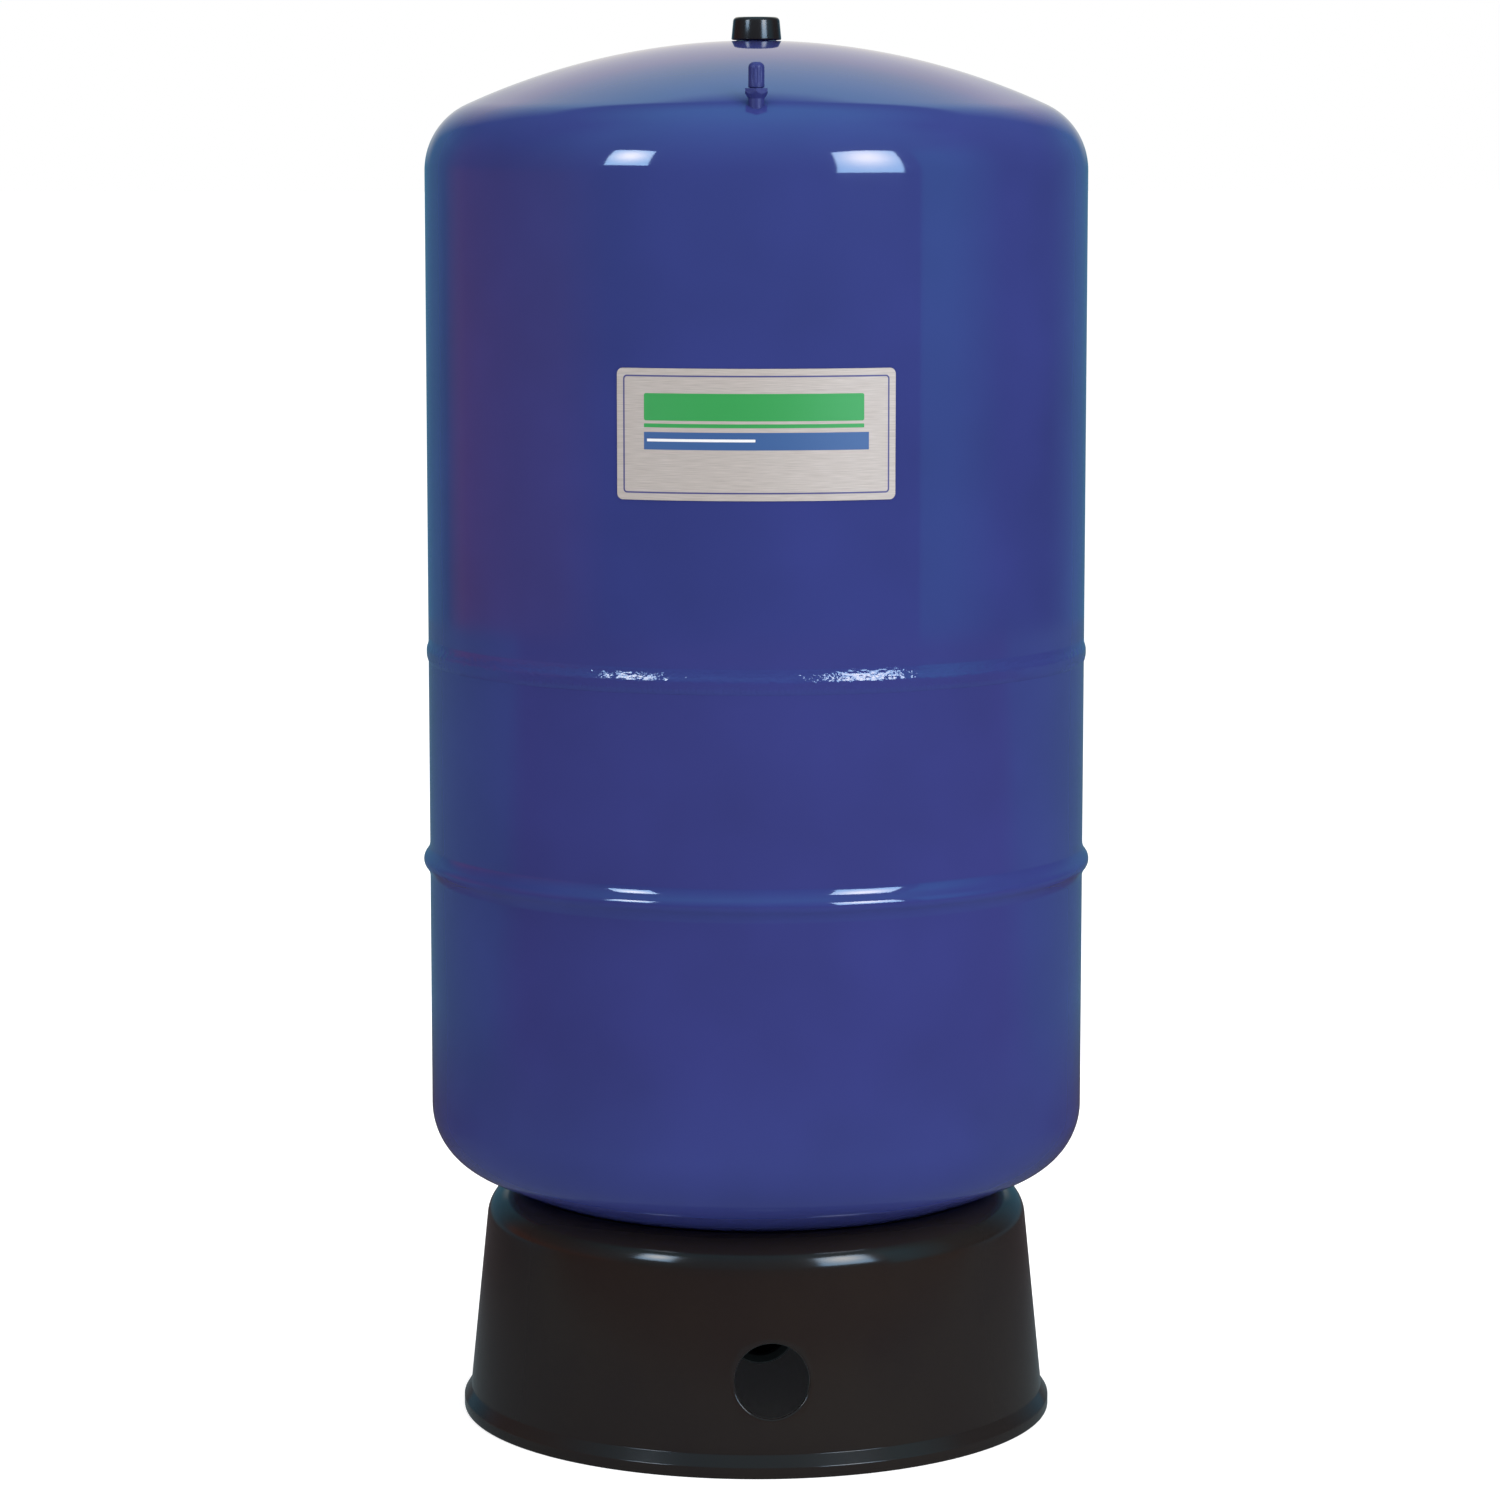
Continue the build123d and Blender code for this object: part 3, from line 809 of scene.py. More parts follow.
def refinish(material: bpy.types.Material, *nodes: str) -> None:
    """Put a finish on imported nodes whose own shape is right.

    Args:
        material: The finish.
        nodes: Names of the nodes.
    """
    for name in nodes:
        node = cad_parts[name]
        for place in node.material_slots:
            place.material = material
        if not node.material_slots:
            node.data.materials.append(material)
        log.info("%s: packed shape in %s", name, material.name)


@dataclass(frozen=True)
class Head:
    """Torispherical end of the vessel: a crown arc that runs into a knuckle arc and the side wall."""

    wall: float
    tangent: float
    crown_radius: float
    knuckle_radius: float
    way: Way
    crown_rows: int = 72
    knuckle_rows: int = 28

    @property
    def crown_centre(self) -> float:
        """Height of the centre of the crown arc."""
        reach = sqrt((self.crown_radius - self.knuckle_radius) ** 2 - (self.wall - self.knuckle_radius) ** 2)
        return self.tangent - self.way.value * reach

    @property
    def join(self) -> float:
        """Elevation at which the crown arc meets the knuckle arc."""
        rise = (self.tangent - self.crown_centre) * self.way.value
        return atan2(rise, self.wall - self.knuckle_radius)

    def height_at(self, distance: float, inner: float = 0.0) -> float:
        """Height of the surface at a distance from the axis.

        Args:
            distance: Distance from the axis.
            inner: How far inside the steel's outer face.

        Returns:
            The height.
        """
        if distance <= (self.crown_radius - inner) * cos(self.join):
            rise = sqrt((self.crown_radius - inner) ** 2 - distance**2)
            return self.crown_centre + self.way.value * rise
        reach = distance - self.wall + self.knuckle_radius
        return self.tangent + self.way.value * sqrt((self.knuckle_radius - inner) ** 2 - reach**2)

    def arcs(self, start: float, inner: float = 0.0) -> Array:
        """Crown and knuckle from a distance near the axis out to the side wall.

        Args:
            start: Distance from the axis at which the crown starts.
            inner: How far inside the steel's outer face.

        Returns:
            Rows of radius and height.
        """
        crown, knuckle, way = self.crown_radius - inner, self.knuckle_radius - inner, self.way.value
        first, middle = np.arccos(start / crown), (self.wall - self.knuckle_radius, self.tangent)
        near = polar_arc((0, self.crown_centre), crown, way * first, way * self.join, self.crown_rows)
        far = polar_arc(middle, knuckle, way * self.join, 0, self.knuckle_rows)
        return joined(near, far)


@dataclass(frozen=True)
class Vessel:
    """Blue steel vessel: two drawn shells, the lap joint between them and its weld."""

    radius: float = 195.25
    sheet: float = 1.5
    bottom_tangent: float = 186.9
    top_tangent: float = 742.9
    bottom_radii: Pair = (398.0, 40.3)
    top_radii: Pair = (409.0, 42.5)
    seam: float = 459.0
    bell_rise: float = 1.1
    bell_blend: float = 6.0
    bell_lip: float = 1.5
    lap: float = 14.0
    lap_gap: float = 0.3
    joggle_gap: float = 0.1
    weld_leg: float = 4.8
    swage: float = 335.1
    swage_half: float = 10.4
    swage_rise: float = 3.73
    swage_crest: float = 5.5
    land_radius: float = 34.0
    port_hole: float = 16.7
    boss_hole: float = 6.9
    valve_inset: float = 23.25
    valve_hole: float = 4.52
    drill_reach: float = 20.0
    columns: int = 256
    side_rows: int = 40
    joint_rows: int = 12
    skirt_rows: int = 16
    crease: float = radians(12)
    weld_columns: int = 2400
    weld_rows: int = 9
    weld_pitch: float = 3.1
    weld_lean: float = 0.35
    weld_crown: float = 0.12
    weld_ripple: float = 0.14
    weld_wander: float = 0.12
    weld_waves: tuple[Pair, ...] = ((23, 0.0), (61, 1.7), (147, 0.6))
    weld_crease: float = radians(50)

    @property
    def valve_distance(self) -> float:
        """Distance of the valve from the tank's axis."""
        return self.radius - self.valve_inset

    @property
    def valve_spot(self) -> Array:
        """Where the valve's axis stands."""
        return self.valve_distance * pointing(FRONT)

    @property
    def top(self) -> Head:
        """Top head."""
        return Head(self.radius, self.top_tangent, *self.top_radii, Way.UP)

    @property
    def bottom(self) -> Head:
        """Bottom head."""
        return Head(self.radius, self.bottom_tangent, *self.bottom_radii, Way.DOWN)

    def upper_section(self) -> Array:
        """Closed section of the upper shell: head, side wall and belled lower edge, out and back.

        Returns:
            Rows of radius and height.
        """
        bend = self.seam + self.bell_lip + self.bell_blend
        inner = self.radius - self.sheet
        sides = []
        for depth, wall in ((0.0, self.radius), (self.sheet, inner)):
            bell = s_bend((wall, bend), self.bell_rise, -self.bell_blend, first_share=0.5)
            side = straight((wall, self.top_tangent), (wall, bend), self.side_rows)
            lip = (wall + self.bell_rise, self.seam)
            sides.append(joined(self.top.arcs(self.boss_hole, depth), side, bell, [lip]))
        return joined(sides[0], sides[1][::-1])

    def lower_section(self) -> Array:
        """Closed section of the lower shell: joggled edge, side wall, swaged groove, head and land.

        Returns:
            Rows of radius and height.
        """
        land = self.bottom.height_at(self.land_radius)
        foot = self.seam - self.weld_leg
        turn = 2 * atan2(self.swage_rise, self.swage_half)
        sides = []
        for depth in (0.0, self.sheet):
            wall, floor = self.radius - depth, land + depth
            tucked = wall - self.sheet - self.lap_gap
            meet = sqrt((self.bottom_radii[0] - depth) ** 2 - (floor - self.bottom.crown_centre) ** 2)
            crest = (self.swage_crest - depth) / (self.swage_half / sin(turn))
            rise = s_bend((wall, self.swage + self.swage_half), self.swage_rise, -self.swage_half, 1 - crest)
            fall = s_bend((wall + self.swage_rise, self.swage), -self.swage_rise, -self.swage_half, crest)
            joggle = [(tucked, self.seam + self.lap), (tucked, self.seam - self.joggle_gap), (wall, foot)]
            side = straight((wall, foot), rise[0], self.joint_rows)
            skirt = straight(fall[-1], (wall, self.bottom_tangent), self.skirt_rows)
            head = self.bottom.arcs(meet, depth)[::-1]
            sides.append(joined(joggle, side, rise, fall, skirt, head, [(self.port_hole, floor)]))
        return joined(sides[0], sides[1][::-1])

    def weld(self) -> Object:
        """Weld bead under the belled edge, with the scales that the torch leaves.

        The bead's face is an arc from the edge of the bell down to the wall. It stands proud by a crown, by
        a ripple that rises along each scale and drops at its end, and by a slow wander of the torch: ripple
        times (1 - fraction of the scale) and wander times a mean of sines round the tank. All fade to
        nothing at the two toes.

        Returns:
            The object.
        """
        angle, face = full_turn(self.weld_columns), np.linspace(0, 1, self.weld_rows)
        scales = round(2 * pi * self.radius / self.weld_pitch)
        bow = 4 * face * (1 - face)
        along = angle[None, :] * scales / (2 * pi) + self.weld_lean * bow[:, None]
        scale = 1 - np.mod(along, 1)
        waves = sum(np.sin(count * angle + start) for count, start in self.weld_waves)
        drift = self.weld_wander * (waves / len(self.weld_waves))[None, :]
        proud = bow[:, None] * (self.weld_crown + self.weld_ripple * scale + drift)
        start, end = self.radius + self.bell_rise, self.radius + self.joggle_gap
        radius = (start + (end - start) * face)[:, None] + proud
        height = (self.seam - self.weld_leg * face)[:, None] + drift * bow[:, None]
        root = np.full((2, len(angle)), self.radius - self.sheet - self.lap_gap + self.joggle_gap)
        levels = np.array([[self.seam - self.joggle_gap], [self.seam]])
        radius = np.concatenate([radius, root])
        height = np.concatenate([height, np.broadcast_to(levels, root.shape)])
        faces = wall_faces(*radius.shape, True)
        return mesh_object("painted_girth_weld", polar(radius, angle, height), faces, self.weld_crease)

    def build(self, paint: bpy.types.Material) -> None:
        """Make the vessel.

        Args:
            paint: Its enamel.
        """
        upper = turned("drawn_upper_shell", self.upper_section(), self.columns, crease=self.crease)
        height = self.top.height_at(self.valve_distance)
        span = (height - self.drill_reach, height + self.drill_reach)
        drilled(upper, self.valve_spot, self.valve_hole, span, self.crease)
        lower = turned("drawn_lower_shell", self.lower_section(), self.columns, crease=self.crease)
        dressed(upper, paint, Slot.TANK, Body.TANK, "upper_shell")
        dressed(lower, paint, Slot.TANK, Body.TANK, "lower_shell")
        dressed(self.weld(), paint, Slot.TANK, Body.TANK, "girth_weld")
        refinish(paint, "top_boss", "boss_weld")


@dataclass(frozen=True)
class Stand:
    """Black moulded stand: seat under the head, rolled shoulder, tapered wall with a pipe hole, and a rim
    under a ledge at the foot."""

    vessel: Vessel
    foot_radius: float = 174.3
    taper: float = radians(5.75)
    wall: float = 3.2
    shoulder: float = 20.0
    slip: float = 0.3
    seat_inner: float = 118.0
    ledge_top: float = 13.2
    ledge_bottom: float = 6.6
    ledge_fillet: float = 0.8
    rim_radius: float = 177.2
    rim_edge: float = 1.2
    foot_edge: float = 1.0
    hole_height: float = 55.2
    hole_radius: float = 21.6
    hole_edge: float = 1.2
    columns: int = 384
    seat_rows: int = 16
    roll_rows: int = 32
    neck_rows: int = 8
    edge_rows: int = 6
    ring_rows: int = 7
    window_columns: int = 12
    window_rows: int = 24
    window_half: float = 32.0

    def wall_radius(self, height: Any, depth: float = 0.0) -> Any:
        """Radius of the tapered wall at a height: the foot's radius less the height times the taper."""
        return self.foot_radius - height * tan(self.taper) - depth / cos(self.taper)

    def on_wall(self, height: float) -> Pair:
        """Radius and height of a point of the wall's outer face."""
        return self.wall_radius(height), height

    def shoulder_centre(self) -> tuple[float, float]:
        """Centre of the shoulder arc, which touches both the head and the tapered wall.

        It lies on a line parallel to the wall, one shoulder radius inside it, and on a circle round the
        crown's centre, one shoulder radius outside the head: the lower root of that quadratic.

        Returns:
            Radius and height of the centre.
        """
        slope = tan(self.taper)
        centre = self.vessel.bottom.crown_centre
        reach = self.vessel.bottom_radii[0] + self.slip + self.shoulder
        foot = self.foot_radius - self.shoulder / cos(self.taper)
        lead = foot * slope + centre
        rest = foot**2 + centre**2 - reach**2
        height = (lead - sqrt(lead**2 - (1 + slope**2) * rest)) / (1 + slope**2)
        return foot - slope * height, height

    def outer_run(self) -> tuple[Array, int]:
        """Outer face of the section, from the seat's inner edge down to the foot.

        Returns:
            Rows of radius and height, and the row at which the window for the pipe hole starts.
        """
        crown = self.vessel.bottom_radii[0] + self.slip
        centre = self.vessel.bottom.crown_centre
        across, height = self.shoulder_centre()
        contact = atan2(height - centre, across)
        seat = polar_arc((0, centre), crown, -np.arccos(self.seat_inner / crown), contact, self.seat_rows)
        roll = polar_arc((across, height), self.shoulder, contact + pi, self.taper, self.roll_rows)
        top, low = self.hole_height + self.window_half, self.hole_height - self.window_half
        upper = straight(roll[-1], self.on_wall(top), self.neck_rows)
        window = straight(upper[-1], self.on_wall(low), self.window_rows + 1)
        before = joined(seat, roll, upper)
        return joined(before, window), len(before) - 1

    def foot(self) -> tuple[Array, Array]:
        """Ledge and rim under the tapered wall, outside and inside.

        Outside, the two corners of the ledge are rounded and the foot's edge is a quarter round. Inside, the
        ledge is one wall further in, and meets the rim where its line reaches the rim's inner radius.

        Returns:
            Rows of radius and height, each from the wall down to the floor.
        """
        top = np.array(self.on_wall(self.ledge_top))
        low = np.array([self.rim_radius, self.ledge_bottom])
        rim, edge = self.rim_radius, self.foot_edge
        outside = joined(
            eased(self.on_wall(self.hole_height), top, low, self.ledge_fillet),
            eased(top, low, (rim, 0.0), self.rim_edge),
            polar_arc((rim - edge, edge), edge, 0, -pi / 2, self.edge_rows),
        )
        along = (low - top) / hypot(*(low - top))
        start = top + self.wall * np.array([along[1], -along[0]])
        corner = start + along * (rim - self.wall - start[0]) / along[0]
        toe = polar_arc((rim - self.wall + edge, edge), edge, -pi, -pi / 2, self.edge_rows)
        return outside, joined([start, corner], toe)

    def section(self) -> tuple[Array, int, int]:
        """Closed section: the outer face down, and the inner face, one wall inside it, back up.

        Returns:
            Rows of radius and height, and the rows at which the outer and the inner window start.
        """
        outer, window = self.outer_run()
        outside, inside = self.foot()
        whole = np.concatenate([outer, outside, inside[::-1], inset(outer, self.wall)[::-1]])
        return whole, window, len(whole) - 1 - window - self.window_rows

    def rings(self, border: Array, depth: float) -> Array:
        """Rings of points on one face of the wall, from the border of its window in to the hole's edge.

        Seen along the hole's axis, ring points lie on straight lines from the border to the hole's edge
        circle. Each is then put on the cone of the wall: y = -sqrt(radius(z)^2 - x^2).

        Args:
            border: Points round the window.
            depth: How far inside the outer face this face is.

        Returns:
            Array of rings by points by three.
        """
        flat = border[:, ::2] - (0, self.hole_height)
        turn = np.arctan2(flat[:, 1], flat[:, 0])
        rim = (self.hole_radius + self.hole_edge) * pointing(turn)
        share = np.linspace(0, 1, self.ring_rows)[1:, None, None]
        across = flat * (1 - share) + rim * share
        height = across[..., 1] + self.hole_height
        radius = self.wall_radius(height, depth)
        return np.stack([across[..., 0], -np.sqrt(radius**2 - across[..., 0] ** 2), height], -1)

    def rolled_edge(self, rim: Array, inwards: int) -> Array:
        """Quarter-round rings from a rim into the hole: the rim draws in by the edge radius times the sine
        of a quarter turn, and sinks into the wall by the edge radius times one minus its cosine.

        Args:
            rim: Ring on the face of the wall.
            inwards: 1 for the outer face, which sinks towards +Y, and -1 for the inner one.

        Returns:
            Array of rings by points by three.
        """
        turn = np.linspace(0, pi / 2, self.edge_rows)[1:, None]
        flat = rim[:, ::2] - (0, self.hole_height)
        unit = flat / np.linalg.norm(flat, axis=1)[:, None]
        reach = self.hole_radius + self.hole_edge * (1 - np.sin(turn))
        sunk = rim[:, 1] + inwards * self.hole_edge * (1 - np.cos(turn))
        return np.stack([unit[:, 0] * reach, sunk, unit[:, 1] * reach + self.hole_height], -1)

    def moulding(self) -> Object:
        """Make the stand: a turned grid with a window in each face, and rings that lead into the hole.

        Returns:
            The object.
        """
        section, outer_row, inner_row = self.section()
        faces = wall_faces(len(section), self.columns, True)
        keep = np.ones(faces.shape[:2], bool)
        points = [turned_points(section, -pi / 2 + full_turn(self.columns)).reshape(-1, 3)]
        span = np.arange(-self.window_columns, self.window_columns + 1) % self.columns
        rims = []
        for row, depth, inwards in ((outer_row, 0.0, 1), (inner_row, self.wall, -1)):
            levels = np.arange(row, row + self.window_rows + 1)
            keep[np.ix_(levels[:-1], span[:-1])] = False
            sides = (
                (levels[0], span[:-1]),
                (levels[:-1], span[-1]),
                (levels[-1], span[:0:-1]),
                (levels[:0:-1], span[0]),
            )
            border = np.concatenate([level * self.columns + column for level, column in sides])
            rings = self.rings(points[0][border], depth)
            rings = np.concatenate([rings, self.rolled_edge(rings[-1], inwards)])
            first = sum(len(part) for part in points)
            added = first + np.arange(len(rings) * len(border)).reshape(-1, len(border))
            points.append(rings.reshape(-1, 3))
            rims.append(np.concatenate([border[None], added]))
        whole = np.concatenate(points)
        outer, inner = rims[0], np.roll(rims[1][:, ::-1], 1, axis=1)
        start = np.argmin(np.linalg.norm(whole[inner[-1]] - whole[outer[-1][0]], axis=1))
        bore = np.concatenate([outer, np.roll(inner, -start, axis=1)[::-1]])
        near, far = bore[:-1], bore[1:]
        lining = np.stack([near, np.roll(near, -1, 1), np.roll(far, -1, 1), far], -1).reshape(-1, 4)
        return mesh_object("moulded_stand", whole, np.concatenate([faces[keep], lining]))

    def build(self, plastic: bpy.types.Material) -> None:
        """Make the stand in its plastic."""
        dressed(self.moulding(), plastic, Slot.STAND, Body.TANK, "base_stand")


@dataclass(frozen=True)
class RatingPlate:
    """Printed metal plate, bent round the upper shell."""

    wall: float = 195.25
    gap: float = 0.1
    height: float = 599.2
    tall: float = 73.1
    arc: float = 158.8
    thickness: float = 0.4
    corner: float = 3.4
    border: float = 4.2
    line: float = 0.9
    line_corner: float = 1.8
    ink: str = "#3f3b7c"
    green: str = "#239c45"
    blue: str = "#2b5794"
    white: str = "#f4f4f6"
    columns: int = 97
    part_rows: int = 9

    def fields(self) -> tuple[PrintField, ...]:
        """Printed shapes: the border line, a broad and a narrow green bar, a blue band and its white line.

        Returns:
            The shapes, each drawn over those before it.
        """
        half = (self.arc / 2 - self.border, self.tall / 2 - self.border)
        return (
            PrintField(self.ink, (0.0, 0.0), half, self.line_corner, self.line),
            PrintField(self.green, (-1.3, 15.2), (62.0, 7.6), corner=1.2),
            PrintField(self.green, (-1.3, 4.9), (62.0, 1.1), corner=0.4),
            PrintField(self.blue, (0.1, -3.6), (63.4, 4.9), corner=0.2),
            PrintField(self.white, (-31.0, -3.2), (30.5, 0.75), corner=0.2),
        )

    def sheet(self) -> Object:
        """Make the plate: a round-cornered rectangle bent to the shell, front and back with an edge between.

        Row by row, the half width is that of the rectangle, less corner - sqrt(corner^2 - reach^2) where the
        row is within a corner of the top or bottom. The arc length across is then turned into an angle.

        Returns:
            The object, with a map from 0 to 1 across its front.
        """
        half_tall, half_arc = self.tall / 2, self.arc / 2
        turn = np.linspace(0, pi / 2, self.part_rows)
        bend = half_tall - self.corner + self.corner * np.sin(turn)
        rise = np.concatenate([-bend[::-1], np.linspace(-bend[0], bend[0], self.part_rows)[1:-1], bend])
        reach = np.clip(np.abs(rise) - half_tall + self.corner, 0, self.corner)
        width = half_arc - self.corner + np.sqrt(self.corner**2 - reach**2)
        across = width[:, None] * np.linspace(-1, 1, self.columns)
        shells = [
            polar(self.wall + depth, FRONT + across / self.wall, rise[:, None] + self.height)
            for depth in (self.gap + self.thickness, self.gap)
        ]
        rows, columns = across.shape
        front = wall_faces(rows, columns, False)[:, :-1].reshape(-1, 4)
        top, side = np.arange(columns), np.arange(rows) * columns
        far_side, far_row = side + columns - 1, top + (rows - 1) * columns
        edge = np.concatenate([top[:-1], far_side[:-1], far_row[:0:-1], side[:0:-1]])
        ahead = np.roll(edge, -1)
        skirt = np.stack([edge, ahead, ahead + rows * columns, edge + rows * columns], 1)
        faces = np.concatenate([front, front + rows * columns, skirt])
        made = mesh_object("printed_rating_plate", np.stack(shells), faces)
        self.add_map(made)
        return made

    def add_map(self, plate: Object) -> None:
        """Lay a map on the plate: across is the arc length from one side, up is the height from the foot.

        Args:
            plate: The plate.
        """
        mesh = plate.data
        places = np.empty(len(mesh.vertices) * 3)
        mesh.vertices.foreach_get("co", places)
        x, y, z = (places.reshape(-1, 3) / MM).T
        turn = np.mod(np.arctan2(y, x) - FRONT + pi, 2 * pi) - pi
        flat = np.stack([turn * self.wall / self.arc + 0.5, (z - self.height) / self.tall + 0.5], 1)
        corners = np.empty(len(mesh.loops), int)
        mesh.loops.foreach_get("vertex_index", corners)
        mesh.uv_layers.new(name="plate").data.foreach_set("uv", flat[corners].ravel())

    def build(self) -> None:
        """Make the plate and print it."""
        finish = PrintedFoil(self.arc, self.tall, self.fields())
        dressed(self.sheet(), finish.material(), Slot.PLATE, Body.TANK, "rating_plate")


@dataclass(frozen=True)
class TopCap:
    """Black cap on the crown: a tapered skirt with a rounded top and an inner socket."""

    crown: float
    rise: float = 13.65
    top_radius: float = 13.5
    foot_radius: float = 14.65
    wall: float = 1.7
    edge: float = 2.6
    slip: float = 0.3
    rim_round: float = 0.8
    socket_inner: float = 9.8
    socket_wall: float = 1.4
    socket_foot: float = 3.2
    columns: int = 160
    roll_rows: int = 14
    edge_rows: int = 6

    def section(self) -> Array:
        """Section of the cap from the middle of its top, down the skirt, up inside and round the socket.

        Returns:
            Rows of radius and height.
        """
        top, foot = self.crown + self.rise, self.crown + self.slip
        lean = atan2(self.foot_radius - self.top_radius, self.rise - self.slip)
        across = self.top_radius - self.edge * tan((pi / 2 - lean) / 2)
        flat = straight((across / 2, top), (across, top), 3)
        bend = (across, top - self.edge)
        roll = polar_arc(bend, self.edge, pi / 2, lean, self.roll_rows)
        rim, rows = self.rim_round, self.edge_rows
        toe = polar_arc((self.foot_radius - rim, foot + rim), rim, lean, -pi / 2, rows)
        heel = polar_arc((self.foot_radius - self.wall + rim, foot + rim), rim, -pi / 2, -pi + lean, rows)
        inside = polar_arc(bend, self.edge - self.wall, lean, pi / 2, rows)
        roof, inner = top - self.wall, self.socket_inner
        out, socket = inner + self.socket_wall, self.crown + self.socket_foot
        ring = [(out, roof), (out, socket), (inner, socket), (inner, roof), (0, roof)]
        return joined([(0.0, top)], flat, roll, toe, heel, inside, ring)

    def build(self, plastic: bpy.types.Material) -> None:
        """Make the cap in its plastic."""
        cap = turned("moulded_top_cap", self.section(), self.columns, closed=False)
        dressed(cap, plastic, Slot.CAP, Body.TOP_CAP, "top_cap")


@dataclass(frozen=True)
class AirValve:
    """Air valve on the front of the top head: its round cap and the spring of its core are made here."""

    vessel: Vessel
    cap_rise: float = 23.2
    cap_radius: float = 4.5
    cap_length: float = 14.2
    cap_roof: float = 2.0
    cap_round: float = 3.3
    cap_bore: float = 3.95
    cap_bore_round: float = 1.0
    cap_chamfer: float = 0.3
    cap_columns: int = 192
    cap_rows: Pair = (14, 12)
    bore_rows: int = 6
    grooves: int = 12
    groove_depth: float = 0.22
    groove_row: int = 6
    groove_foot: float = 2.2
    groove_head: float = 0.8
    groove_fades: Pair = (1.5, 0.8)
    spring_drop: float = 20.53
    spring_radius: float = 0.975
    spring_wire: float = 0.12
    spring_length: float = 8.56
    spring_turns: int = 5
    spring_pressed: float = 0.887
    spring_rows: int = 24
    wire_sides: int = 12

    @property
    def cap_top(self) -> float:
        """Height of the top of the valve cap."""
        return self.vessel.top.height_at(self.vessel.valve_distance) + self.cap_rise

    def cap(self) -> Object:
        """Make the valve cap, fluted for the fingers.

        The section is turned as usual, and the skirt's radius is then drawn in by the groove depth times
        the fourth power of the cosine of half as many turns as there are grooves, faded out over the dome
        and above the foot.

        Returns:
            The object.
        """
        top, foot = self.cap_top, self.cap_top - self.cap_length
        roof, shoulder = top - self.cap_roof, self.cap_radius - self.cap_round
        dome_rows, skirt_rows = self.cap_rows
        dome = polar_arc((shoulder, top - self.cap_round), self.cap_round, pi / 2, 0, dome_rows)
        skirt = straight(dome[-1], (self.cap_radius, foot + self.cap_chamfer), skirt_rows)
        foot_edge = [(self.cap_radius - self.cap_chamfer, foot), (self.cap_bore, foot)]
        bore_top = (self.cap_bore - self.cap_bore_round, roof - self.cap_bore_round)
        inside = polar_arc(bore_top, self.cap_bore_round, 0, pi / 2, self.bore_rows)
        section = joined([(0.0, top)], dome, skirt, foot_edge, inside, [(0.0, roof)])
        angles, rows, height = full_turn(self.cap_columns), np.arange(len(section)), section[:, 1]
        points = turned_points(section, angles)
        outside = (rows >= self.groove_row) & (rows < dome_rows + skirt_rows)
        start, end = top - self.cap_round + self.groove_head, foot + self.groove_foot
        over, under = self.groove_fades
        fade = np.clip((start - height) / over, 0, 1) * np.clip((height - end) / under, 0, 1) * outside
        flute = np.cos(angles * self.grooves / 2) ** 4
        drawn = 1 - self.groove_depth / self.cap_radius * fade[:, None] * flute[None, :]
        points[..., :2] = points[..., :2] * drawn[..., None] + self.vessel.valve_spot
        return mesh_object("fluted_valve_cap", points, wall_faces(len(section), len(angles), False))

    def spring(self) -> Object:
        """Make the spring of the valve's core: a round wire along a helix, closed at both ends.

        A point of the wire is the helix's point, plus the wire's radius times the cosine of the angle round
        the wire outwards, and times its sine square to that and to the way of the wire.

        Returns:
            The object.
        """
        turn = np.linspace(0, 2 * pi * self.spring_turns, self.spring_rows * self.spring_turns + 1)
        turn = np.concatenate([turn[:1], turn, turn[-1:]])[:, None]
        wire = np.full_like(turn, self.spring_wire)
        wire[[0, -1]] = 0.0
        pitch = self.spring_length / (2 * pi * self.spring_turns)
        slope, around = atan2(pitch, self.spring_radius), full_turn(self.wire_sides)
        out, side = self.spring_radius + wire * np.cos(around), wire * np.sin(around)
        east = out * np.cos(turn) + side * sin(slope) * np.sin(turn)
        north = out * np.sin(turn) - side * sin(slope) * np.cos(turn)
        height = self.cap_top - self.spring_drop + pitch * turn + side * cos(slope)
        points = np.stack([east, north, height], -1)
        points[..., :2] += self.vessel.valve_spot
        return mesh_object("wound_core_spring", points, wall_faces(len(turn), len(around), False))

    def build(self, paint: bpy.types.Material, steel: bpy.types.Material) -> None:
        """Make the valve.

        Args:
            paint: Its enamel, sprayed with the vessel: duller, and darker in colour as painted shade.
            steel: Metal of its spring.
        """
        dressed(self.cap(), paint, Slot.TANK, Body.VALVE_CAP, "valve_cap")
        refinish(paint, "valve_stem")
        spring = dressed(self.spring(), steel, Slot.STEEL, Body.TANK, "core_spring")
        foot = (*self.vessel.valve_spot * MM, (self.cap_top - self.spring_drop - self.spring_wire) * MM)
        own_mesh(spring)


def step(value: Array, edge: float, soft: float) -> Array:
    """Straight ramp from 0 to 1 as a value passes an edge, over a soft width round it."""
    return np.clip((value - edge) / soft + 0.5, 0, 1)


@dataclass(frozen=True)
class SoftBox:
    """Soft box, as seen from the tank: how many degrees to the right of the camera, its edges and light."""

    name: str
    side: float
    low: float
    high: float
    width: float
    power: float
    glow: float
    reach: float = 4.0
    lamp_reach: float = 3.0


class Flank(Enum):
    """Side of the camera on which a part of the room glows."""

    LEFT = -1
    BOTH = 0
    RIGHT = 1


